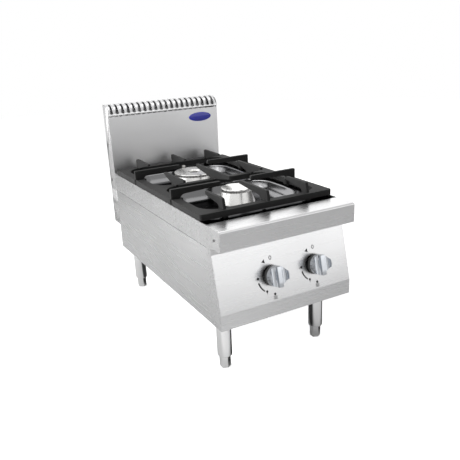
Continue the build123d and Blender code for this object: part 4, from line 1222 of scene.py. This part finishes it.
class BOILING_TOP_OT_pan_support(bpy.types.Operator):
    """Make the cast pan support with its fingers and fins"""

    bl_idname = "boiling_top.pan_support"
    bl_label = "Pan support"

    def execute(self, context):
        settings = context.scene.boiling_top
        grate = settings.grate
        low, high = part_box("pan_support")
        self.front, self.rear = low.y - FRONT, high.y - FRONT
        self.half = high.x
        bm = bmesh.new()
        self.frame(bm, grate)
        for burner in BURNERS:
            for side in SIDES.values():
                self.finger(bm, grate, side, burner_centre(burner))
        for place in (-1, 0, 1):
            self.fins(bm, grate, place)
        self.pads(bm, grate, settings.top.recess_depth)
        tidy(bm)
        piece = finish_piece(
            bm, "cast_pan_support", "pan_support", "grate enamel", ["pan_support"]
        )
        soften(piece, grate.edge, 3, 40)
        return {"FINISHED"}

    def frame(self, bm, grate):
        """The flat frame with its two openings."""
        middle = (self.front + self.rear) / 2
        crossbar = (burner_centre("front") + burner_centre("rear")) / 2
        outer = rounded_rectangle(
            bm, spot(0, middle, grate.lift), 2 * self.half, self.rear - self.front, grate.corner, 6
        )
        outer.normal_update()
        spans = (
            (self.front + grate.end_bar, crossbar - grate.crossbar / 2),
            (crossbar + grate.crossbar / 2, self.rear - grate.end_bar),
        )
        rings = []
        for start, end in spans:
            hole = rounded_rectangle(
                bm,
                spot(0, (start + end) / 2, grate.lift),
                2 * (self.half - grate.side_bar),
                end - start,
                grate.opening_corner,
                12,
            )
            rings.append(list(hole.verts))
            bmesh.ops.delete(bm, geom=[hole], context="FACES_ONLY")
        cut_holes(bm, outer, rings)
        push_out(bm, bm.faces[:], UP * grate.thickness)

    def finger(self, bm, grate, side, back):
        """One finger, from the frame's side towards the burner."""
        root = self.half - grate.side_bar
        tip = self.half - grate.reach
        start = back - grate.finger / 2
        tip_depth, root_depth, lug_size = 11 * MM, 17 * MM, 18 * MM
        outline = [
            (root, grate.lift),
            (self.half, grate.lift),
            (self.half, grate.height),
            (tip, grate.height),
            (tip, grate.height - tip_depth),
            (root, grate.height - root_depth),
        ]
        corners = [spot(side * x, start, height) for x, height in outline]
        rounded = [(2, 1.5 * MM), (3, 4 * MM), (4, 2 * MM), (5, grate.arch)]
        prism(bm, corners, Vector((0, grate.finger, 0)), rounded)
        lug = rounded_rectangle(bm, spot(side * root, back, grate.lift), lug_size, lug_size, 4 * MM, 4)
        push_out(bm, [lug], UP * grate.thickness)

    def fins(self, bm, grate, place):
        """The three fins of one line, from the front bar to the rear bar."""
        x = place * grate.fin_offset - grate.fin / 2
        across = Vector((grate.fin, 0, 0))
        side = place != 0
        frame_top = grate.lift + grate.thickness
        start, end = (self.front + (8 if side else 3) * MM, (200 if side else 244) * MM)
        front = [
            (start, grate.lift),
            (start, frame_top),
            (start + 6 * MM, grate.height),
            (end, grate.height),
            (end, grate.height - 9 * MM),
            (125 * MM if side else 133 * MM, grate.height - 20 * MM),
            (125 * MM, grate.lift),
        ]
        rounded = [(2, 3 * MM), (3, 2 * MM), (4, 1.5 * MM), (5, 14 * MM)]
        prism(bm, [spot(x, d, h) for d, h in front], across, rounded)
        crossbar = (burner_centre("front") + burner_centre("rear")) / 2
        near, far = (335 * MM, 475 * MM) if side else (300 * MM, 515 * MM)
        tip = grate.height - (6 if side else 10) * MM
        apex = grate.height - 25 * MM
        stem = 11 * MM
        middle = [
            (near, grate.height),
            (far, grate.height),
            (far, tip),
            (crossbar + stem, apex),
            (crossbar + stem, grate.lift),
            (crossbar - stem, grate.lift),
            (crossbar - stem, apex),
            (near, tip),
        ]
        rounded = [(0, 2 * MM), (1, 2 * MM), (2, 1.5 * MM), (3, 8 * MM), (6, 8 * MM), (7, 1.5 * MM)]
        prism(bm, [spot(x, d, h) for d, h in middle], across, rounded)
        rear = [
            (606 * MM, grate.height),
            (712 * MM, grate.height),
            (712 * MM, grate.lift),
            (692 * MM, grate.lift),
            (692 * MM, frame_top),
            (606 * MM, grate.height - 5 * MM),
        ]
        rounded = [(0, 2 * MM), (1, 3 * MM), (4, 10 * MM), (5, 1.5 * MM)]
        prism(bm, [spot(x, d, h) for d, h in rear], across, rounded)

    def pads(self, bm, grate, drop):
        """The small feet that stand in the recess."""
        places = [(side * grate.fin_offset, self.front + 9 * MM) for side in SIDES.values()]
        places += [(side * grate.fin_offset, self.rear - 9 * MM) for side in SIDES.values()]
        places += [
            (side * 185 * MM, burner_centre(burner)) for side in SIDES.values() for burner in BURNERS
        ]
        for x, back in places:
            pad = rounded_rectangle(bm, spot(x, back, -drop), 16 * MM, 9 * MM, 2 * MM, 4)
            push_out(bm, [pad], UP * (drop + grate.lift + 1 * MM))


class BOILING_TOP_OT_knobs(bpy.types.Operator):
    """Make the two push-and-turn knobs"""

    bl_idname = "boiling_top.knobs"
    bl_label = "Knobs"

    def execute(self, context):
        settings = context.scene.boiling_top
        panel = settings.panel
        for name in SIDES:
            bm = bmesh.new()
            self.body(bm, panel)
            tidy(bm)
            where = slope_frame(panel, knob_x(name), panel.knob_down)
            bmesh.ops.transform(bm, matrix=where, verts=bm.verts)
            bmesh.ops.recalc_face_normals(bm, faces=bm.faces)
            finish_piece(
                bm,
                f"{name}_control_knob",
                f"{name}_control",
                "knob metal",
                [f"{name}_knob"],
                30,
            ).data.materials.append(finish_named("knob band"))
        return {"FINISHED"}

    def section(self, panel, top):
        """The knob's cut from left to right: land, scoop and half of the bar, mirrored."""
        radius, edge = panel.knob_radius, panel.knob_edge
        scoop, middle = panel.scoop_radius, panel.scoop_offset
        draft, soft = 0.4 * MM, 0.5 * MM
        points = [(-radius + edge * (1 - math.cos(math.radians(a))), top) for a in range(0, 91, 15)]
        points.append((-middle - scoop - draft - soft, top))
        points.append((-middle - scoop - draft, top - soft))
        for step in range(-90, 91, 10):
            turned = math.radians(step)
            points.append(
                (-middle + scoop * math.sin(turned), top - panel.scoop_drop - scoop * math.cos(turned))
            )
        points.append((-middle + scoop + draft, top - soft))
        points.append((-middle + scoop + draft + soft, top))
        points += [(x, top) for x in (-3 * MM, 0)]
        return points + [(-x, z) for x, z in reversed(points[:-1])]

    def body(self, bm, panel):
        """The round body with a scoop on each side of its bar."""
        radius, edge, low = panel.knob_radius, panel.knob_edge, panel.knob_gap
        top = low + panel.knob_depth
        insets = [edge * (1 - math.cos(math.radians(a))) for a in range(0, 91, 15)]
        rows, walls = [], []
        for x, z in self.section(panel, top):
            depths = [math.sqrt(max((radius - e) ** 2 - x * x, 0)) for e in insets]
            steps = [-d for d in depths] + [d * 0.5 for d in (-depths[-1], 0, depths[-1])]
            steps += list(reversed(depths))
            column = []
            for y in steps:
                inset = min(max(radius - math.hypot(x, y), 0), edge)
                fall = edge - math.sqrt(max(edge**2 - (edge - inset) ** 2, 0))
                column.append(bm.verts.new((x, y, min(z, top - fall))))
            rows.append(column)
            reach = depths[0]
            heights = (low + panel.band_depth, low)
            walls.append([[bm.verts.new((x, s * reach, h)) for h in heights] for s in (-1, 1)])
        for this, after in zip(rows, rows[1:]):
            for a, b, c, d in zip(this, this[1:], after[1:], after):
                bm.faces.new((a, b, c, d))
        for column, here, after, there in zip(rows, walls, rows[1:], walls[1:]):
            for end, rim, rim_after in ((0, column[0], after[0]), (1, column[-1], after[-1])):
                upper, lower = here[end]
                upper_after, lower_after = there[end]
                bm.faces.new((rim, rim_after, upper_after, upper))
                bm.faces.new((upper, upper_after, lower_after, lower)).material_index = 1
            bm.faces.new((here[0][1], here[1][1], there[1][1], there[0][1])).material_index = 1


class BOILING_TOP_OT_panel_marks(bpy.types.Operator):
    """Print the marks round each knob"""

    bl_idname = "boiling_top.panel_marks"
    bl_label = "Panel marks"

    def execute(self, context):
        settings = context.scene.boiling_top
        panel = settings.panel
        for name in SIDES:
            for shade, draw in (("black", self.dark_marks), ("grey", self.pale_marks)):
                bm = bmesh.new()
                draw(bm)
                bmesh.ops.scale(bm, vec=(MM, MM, MM), verts=bm.verts)
                push_out(bm, bm.faces[:], Vector((0, 0, panel.ink)))
                where = slope_frame(panel, knob_x(name), panel.knob_down)
                bmesh.ops.transform(bm, matrix=where, verts=bm.verts)
                bmesh.ops.recalc_face_normals(bm, faces=bm.faces)
                finish_piece(bm, f"{name}_{shade}_marks", "root", f"{shade} print")
        return {"FINISHED"}

    def arc(self, x, y, width, tall, start=0, end=360, steps=24):
        """Points in millimetres on an oval, by degrees anticlockwise from the right."""
        turns = [math.radians(start + (end - start) * step / steps) for step in range(steps + 1)]
        return [Vector((x + width * math.cos(a), y + tall * math.sin(a), 0)) for a in turns]

    def band(self, bm, outer, inner):
        """A strip between two rows of points."""
        rows = [[bm.verts.new(point) for point in row] for row in (outer, inner)]
        for a, b, c, d in zip(rows[0], rows[0][1:], rows[1][1:], rows[1]):
            bm.faces.new((a, b, c, d))
        bmesh.ops.remove_doubles(bm, verts=rows[0] + rows[1], dist=0.001)

    def dark_marks(self, bm):
        """The off mark, the spark, the flames' dots, the turn's arc and the burner's dot."""
        self.band(bm, self.arc(0, 46, 4, 5.4), self.arc(0, 46, 2.2, 3.6))
        polygon(bm, [Vector(point) for point in ((-27, 39, 0), (-17, 35, 0), (-18.5, 45.5, 0))])
        for x, y, radius in ((-43, 0, 3.4), (-22, -37, 3.2), (0, -48.5, 3.4)):
            polygon(bm, self.arc(x, y, radius, radius)[:-1])
        sweep = range(25)
        outer = self.arc(0, 0, 46.5, 46.5, 194, 231)
        inner = [self.arc(0, 0, r, r, 194, 231)[i] for i, r in ((i, 42.1 + i / 20) for i in sweep)]
        self.band(bm, outer, inner)

    def pale_marks(self, bm):
        """The flames' tails and the burner's stripes."""
        for tail in (
            ((-46.5, 2.2, 0), (-52, -2.4, 0), (-46.5, -1.6, 0)),
            ((-23.8, -40, 0), (-22.6, -45.5, 0), (-20.6, -40, 0)),
        ):
            polygon(bm, [Vector(point) for point in tail])
        for row in range(4):
            low, high = -54.2 - 2.6 * row, -52.6 - 2.6 * row
            corners = ((-5.5, low, 0), (5.5, low, 0), (5.5, high, 0), (-5.5, high, 0))
            polygon(bm, [Vector(point) for point in corners])


class BOILING_TOP_OT_legs(bpy.types.Operator):
    """Make the four tubular legs"""

    bl_idname = "boiling_top.legs"
    bl_label = "Legs"

    def execute(self, context):
        settings = context.scene.boiling_top
        for row in BURNERS:
            for side in SIDES:
                name = f"{row}_{side}"
                low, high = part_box(f"{name}_leg")
                centre = Vector(((low.x + high.x) / 2, (low.y + high.y) / 2, 0))
                radius, wall = (high.x - low.x) / 2, 1.5 * MM
                edge, plug = settings.leg.chamfer, 20 * MM
                stem = settings.leg.stem_radius + 0.2 * MM
                outline = [(radius - wall, high.z), (radius, high.z)]
                for step in range(0, 91, 15):
                    turned = math.radians(step)
                    outline.append(
                        (
                            radius - edge + edge * math.cos(turned),
                            low.z + edge - edge * math.sin(turned),
                        )
                    )
                outline += [(stem, low.z), (stem, low.z + plug), (radius - wall, low.z + plug)]
                bm = bmesh.new()
                turn(bm, outline, centre, 64, True)
                tidy(bm)
                finish_piece(
                    bm, f"{name}_leg_tube", "root", "polished leg", [f"{name}_leg"], 50
                )
        return {"FINISHED"}


class BOILING_TOP_OT_feet(bpy.types.Operator):
    """Make the four adjustable feet"""

    bl_idname = "boiling_top.feet"
    bl_label = "Feet"

    def execute(self, context):
        settings = context.scene.boiling_top
        leg = settings.leg
        for row in BURNERS:
            for side in SIDES:
                name = f"{row}_{side}"
                low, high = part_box(f"{name}_foot")
                centre = Vector(((low.x + high.x) / 2, (low.y + high.y) / 2, 0))
                leg_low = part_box(f"{name}_leg")[0].z
                hex_top = leg_low - 0.3 * MM
                bm = bmesh.new()
                self.hex(bm, leg, centre, low.z, hex_top)
                self.stem(bm, leg, centre, hex_top - 1 * MM, high.z)
                tidy(bm)
                piece = finish_piece(
                    bm,
                    f"{name}_levelling_foot",
                    f"{name}_foot",
                    "polished leg",
                    [f"{name}_foot"],
                    30,
                )
                soften(piece, 0.3 * MM, 2, 50)
        return {"FINISHED"}

    def hex(self, bm, leg, centre, low, high):
        """The hexagon that a spanner turns."""
        face = bmesh.ops.create_circle(
            bm,
            cap_ends=True,
            segments=6,
            radius=leg.foot_flats / math.sqrt(3),
            matrix=Matrix.Translation(centre + UP * low),
        )["verts"][0].link_faces[0]
        round_corners(bm, list(face.verts), 0.8 * MM, 3)
        face = max(bm.faces, key=lambda f: f.calc_area())
        push_out(bm, [face], UP * (high - low))
        ends = [e for e in bm.edges if abs(e.verts[0].co.z - e.verts[1].co.z) < 0.01 * MM]
        lower = [e for e in ends if abs(e.verts[0].co.z - low) < 0.01 * MM]
        bend_edges(bm, lower, leg.foot_edge, 4)

    def stem(self, bm, leg, centre, low, high):
        """The threaded stem inside the leg."""
        pitch = 1.75 * MM
        outline = [(0, low), (leg.stem_radius - 0.6 * MM, low)]
        height = low + 1 * MM
        while height + pitch < high - 1 * MM:
            outline.append((leg.stem_radius - 0.7 * MM, height))
            outline.append((leg.stem_radius, height + pitch / 2))
            height += pitch
        outline += [(leg.stem_radius - 0.7 * MM, height), (leg.stem_radius - 1 * MM, high), (0, high)]
        turn(bm, outline, centre, 20)


class BOILING_TOP_OT_screws(bpy.types.Operator):
    """Make the small screws of the nosing, the flue and the base"""

    bl_idname = "boiling_top.screws"
    bl_label = "Screws"

    def execute(self, context):
        settings = context.scene.boiling_top
        leg = settings.leg
        nosing, flue = (28 * MM, 28 * MM), (783 * MM, 30 * MM)
        along_base, base_inset = (200 * MM, 400 * MM, 600 * MM), 8 * MM
        bm = bmesh.new()
        for side in SIDES.values():
            for back, drop in (nosing, flue):
                self.head(bm, leg, spot(side * HALF_WIDTH, back, -drop), Vector((side, 0, 0)))
            for back in along_base:
                place = spot(side * (HALF_WIDTH - base_inset), back, -BODY_DROP)
                self.head(bm, leg, place, -UP)
        tidy(bm)
        finish_piece(bm, "small_screws", "root", "screw steel", ["case_screws"])
        return {"FINISHED"}

    def head(self, bm, leg, place, out):
        """One round head with a hexagon socket, and its short shank."""
        radius, height = leg.head_radius, leg.head_height
        outline = [
            (0, height - 1 * MM),
            (1.3 * MM, height - 1 * MM),
            (1.4 * MM, height),
            (radius - 1.1 * MM, height),
            (radius - 0.4 * MM, height * 0.8),
            (radius, height * 0.45),
            (radius, 0),
            (2 * MM, 0),
            (1.8 * MM, -8 * MM),
            (0, -8 * MM),
        ]
        made = set(bm.verts)
        turn(bm, outline, Vector((0, 0, 0)), 24)
        fresh = [v for v in bm.verts if v not in made]
        facing = Matrix.Translation(place) @ UP.rotation_difference(out).to_matrix().to_4x4()
        bmesh.ops.transform(bm, matrix=facing, verts=fresh)


def pairs(places, *parts):
    """The names of parts that stand in two places."""
    return tuple(f"{place}_{part}" for part in parts for place in places)


INNER_FINISHES = {
    "galvanised sheet": (
        "base_panel", "rear_panel", "heat_shield", "leg_plates", *pairs(BURNERS, "burner_rail")
    ),
    "raw casting": pairs(BURNERS, "burner_base"),
    "brass": (*pairs(BURNERS, "injector"), *pairs(SIDES, "valve_body", "valve_plug")),
    "turned steel": (*pairs(SIDES, "valve_spindle", "valve_spring"), *pairs(BURNERS, "thermocouple")),
    "drawn aluminium": pairs(BURNERS, "supply_tube"),
    "copper": pairs(BURNERS, "pilot_tube"),
    "zinc plating": ("gas_manifold", "inlet_elbow", "inlet_pipe", "manifold_brackets"),
    "screw steel": ("leg_bolts",),
}


class BOILING_TOP_OT_inner_parts(bpy.types.Operator):
    """Give the parts inside and underneath their own finishes"""

    bl_idname = "boiling_top.inner_parts"
    bl_label = "Inner parts"

    def execute(self, context):
        for kind, names in INNER_FINISHES.items():
            for name in names:
                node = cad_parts[name]
                node.data.materials.clear()
                node.data.materials.append(finish_named(kind))
        return {"FINISHED"}


class BOILING_TOP_OT_stage(bpy.types.Operator):
    """Make the floor, the lamps, the world and the camera"""

    bl_idname = "boiling_top.stage"
    bl_label = "Stage"

    def execute(self, context):
        scene = context.scene
        stage = scene.boiling_top.stage
        self.floor()
        self.world(scene)
        self.lamp("left_softbox", (-2.2, 0.9, 1.7), (0, 0, 0.3), 2.0, 1.6, 2.2)
        self.lamp("top_softbox", (0.1, 0.4, 2.6), (0, 0, 0.3), 2.2, 1.6, 1.2)
        front = self.lamp("front_softbox", (1.4, -3.1, 0.8), (0, -0.38, 0.25), 2.6, 1.3, 0.8)
        front.visible_diffuse = False
        rear = self.lamp("rear_softbox", (1.7, 3.1, 1.7), (0, -0.1, 0.42), 2.6, 1.2, 0.8)
        rear.visible_diffuse = False
        fill = self.lamp("left_fill", (-2.4, 0.7, 1.3), (0, 0, 0.3), 2.0, 2.0, 5)
        fill.visible_glossy = False
        sensor_width = 36
        camera = bpy.data.objects.new("camera", bpy.data.cameras.new("camera"))
        scene.collection.objects.link(camera)
        camera.data.lens = stage.lens
        camera.data.sensor_width = sensor_width
        turned = (
            Matrix.Rotation(-stage.azimuth, 4, "Z")
            @ Matrix.Rotation(math.pi / 2 - stage.elevation, 4, "X")
            @ Matrix.Rotation(stage.roll, 4, "Z")
        )
        camera.matrix_world = Matrix.Translation(stage.camera_place) @ turned
        scene.camera = camera
        scene.view_settings.view_transform = "Standard"
        return {"FINISHED"}

    def floor(self):
        """A pale floor that the camera sees evenly white; metal sees painted reflections on it: a
        painted glow in front and painted light and dark bands.
        """
        floor_radius = 6
        bm = bmesh.new()
        bmesh.ops.create_circle(bm, cap_ends=True, segments=96, radius=floor_radius)
        mesh = bpy.data.meshes.new("floor")
        bm.to_mesh(mesh)
        bm.free()
        floor = bpy.data.objects.new("floor", mesh)
        bpy.context.scene.collection.objects.link(floor)
        material, nodes, links, shader = new_material("pale floor")
        shader.inputs["Roughness"].default_value = 0.9
        shader.inputs["Specular IOR Level"].default_value = 0
        shader.inputs["Emission Color"].default_value = (1, 1, 1, 1)
        path = nodes.new("ShaderNodeLightPath")
        glossy = path.outputs["Is Glossy Ray"]
        place = axes(nodes, links)
        # Painted reflection: the floor glows for glossy rays only, in front of the hob, though it is no
        # lamp.
        painted_front_glow = zone(nodes, links, place["Y"], -0.4, -0.3, 0.33, 0.01)
        soft = calculate(nodes, links, "MULTIPLY", glossy, painted_front_glow)
        seen = path.outputs["Is Camera Ray"]
        glow = calculate(nodes, links, "MULTIPLY_ADD", seen, 0.9, soft)
        links.new(glow, shader.inputs["Emission Strength"])
        # Painted reflection: light and dark bands across the floor that only glossy rays see, for the
        # bands on the legs.
        bands = nodes.new("ShaderNodeValToRGB")
        ends = bands.color_ramp.elements
        ends[0].position, ends[1].position = 0.36, 0.39
        for position, grey in ((0.57, 1), (0.6, 0), (0.67, 0), (0.7, 1)):
            ends.new(position).color = (grey, grey, grey, 1)
        links.new(calculate(nodes, links, "ADD", place["X"], 0.5), bands.inputs["Fac"])
        painted_dark_bands = calculate(nodes, links, "MULTIPLY", bands.outputs["Color"], glossy)
        for start, end in ((-0.36, -0.3), (0.45, 0.3)):
            part = zone(nodes, links, place["Y"], start, end)
            painted_dark_bands = calculate(nodes, links, "MULTIPLY", part, painted_dark_bands)
        # The dark colour is a painted dark reflection that only glossy rays see.
        pale, dark = (0.8, 0.8, 0.8), (0.06, 0.06, 0.06)
        links.new(tint(nodes, links, painted_dark_bands, pale, dark), shader.inputs["Base Color"])
        mesh.materials.append(material)

    def world(self, scene):
        """White to the camera, white to metal except on the right, and dim as light."""
        world = bpy.data.worlds.new("studio")
        world.use_nodes = True
        nodes, links = world.node_tree.nodes, world.node_tree.links
        background = nodes["Background"]
        background.inputs["Color"].default_value = (1, 1, 1, 1)
        path = nodes.new("ShaderNodeLightPath")
        glossy = path.outputs["Is Glossy Ray"]
        seen = calculate(nodes, links, "MAXIMUM", path.outputs["Is Camera Ray"], glossy)
        seen = calculate(nodes, links, "MAXIMUM", seen, path.outputs["Is Transmission Ray"])
        level = zone(nodes, links, seen, 0, 1, 0.15, 1)
        rightwards = zone(nodes, links, axes(nodes, links, "Generated")["X"], 0.78, 0.92)
        dark = calculate(nodes, links, "MULTIPLY", rightwards, glossy)
        kept = calculate(nodes, links, "MULTIPLY_ADD", dark, -0.85, 1)
        strength = calculate(nodes, links, "MULTIPLY", level, kept)
        links.new(strength, background.inputs["Strength"])
        scene.world = world

    def lamp(self, name, place, aim, width, height, level):
        """A softbox that looks at a point, as bright as level times white paper."""
        data = bpy.data.lights.new(name, "AREA")
        data.shape = "RECTANGLE"
        data.size = width
        data.size_y = height
        data.energy = math.pi * width * height * level
        lamp = bpy.data.objects.new(name, data)
        bpy.context.scene.collection.objects.link(lamp)
        facing = (Vector(place) - Vector(aim)).to_track_quat("Z", "Y").to_matrix().to_4x4()
        lamp.matrix_world = Matrix.Translation(place) @ facing
        return lamp


OPERATORS = (
    BOILING_TOP_OT_hob_top,
    BOILING_TOP_OT_side_panels,
    BOILING_TOP_OT_front_panel,
    BOILING_TOP_OT_flue,
    BOILING_TOP_OT_badge,
    BOILING_TOP_OT_burner_crowns,
    BOILING_TOP_OT_burner_caps,
    BOILING_TOP_OT_pilots,
    BOILING_TOP_OT_pan_support,
    BOILING_TOP_OT_knobs,
    BOILING_TOP_OT_panel_marks,
    BOILING_TOP_OT_legs,
    BOILING_TOP_OT_feet,
    BOILING_TOP_OT_screws,
    BOILING_TOP_OT_inner_parts,
    BOILING_TOP_OT_stage,
)


class BOILING_TOP_PT_sidebar(bpy.types.Panel):
    """The boiling top's pieces and settings"""

    bl_idname = "BOILING_TOP_PT_sidebar"
    bl_label = "Boiling top"
    bl_space_type = "VIEW_3D"
    bl_region_type = "UI"
    bl_category = "Boiling top"

    def draw(self, context):
        settings = context.scene.boiling_top
        for operator in OPERATORS:
            self.layout.operator(operator.bl_idname)
        for group in settings.bl_rna.properties:
            if group.type != "POINTER" or group.identifier == "rna_type":
                continue
            box = self.layout.box()
            box.label(text=group.identifier.title())
            sizes = getattr(settings, group.identifier)
            for size in sizes.bl_rna.properties:
                if size.identifier not in ("rna_type", "name"):
                    box.prop(sizes, size.identifier)


GROUPS = (
    TopSizes,
    PanelSizes,
    FlueSizes,
    GrateSizes,
    BurnerSizes,
    LegSizes,
    Finishes,
    StageSizes,
    BoilingTopSettings,
)


def register():
    for item in (*GROUPS, *OPERATORS, BOILING_TOP_PT_sidebar):
        bpy.utils.register_class(item)
    bpy.types.Scene.boiling_top = PointerProperty(type=BoilingTopSettings)


def unregister():
    del bpy.types.Scene.boiling_top
    for item in reversed((*GROUPS, *OPERATORS, BOILING_TOP_PT_sidebar)):
        bpy.utils.unregister_class(item)


def main():
    register()
    for operator in OPERATORS:
        group, name = operator.bl_idname.split(".")
        getattr(getattr(bpy.ops, group), name)()


if __name__ == "__main__":
    main()
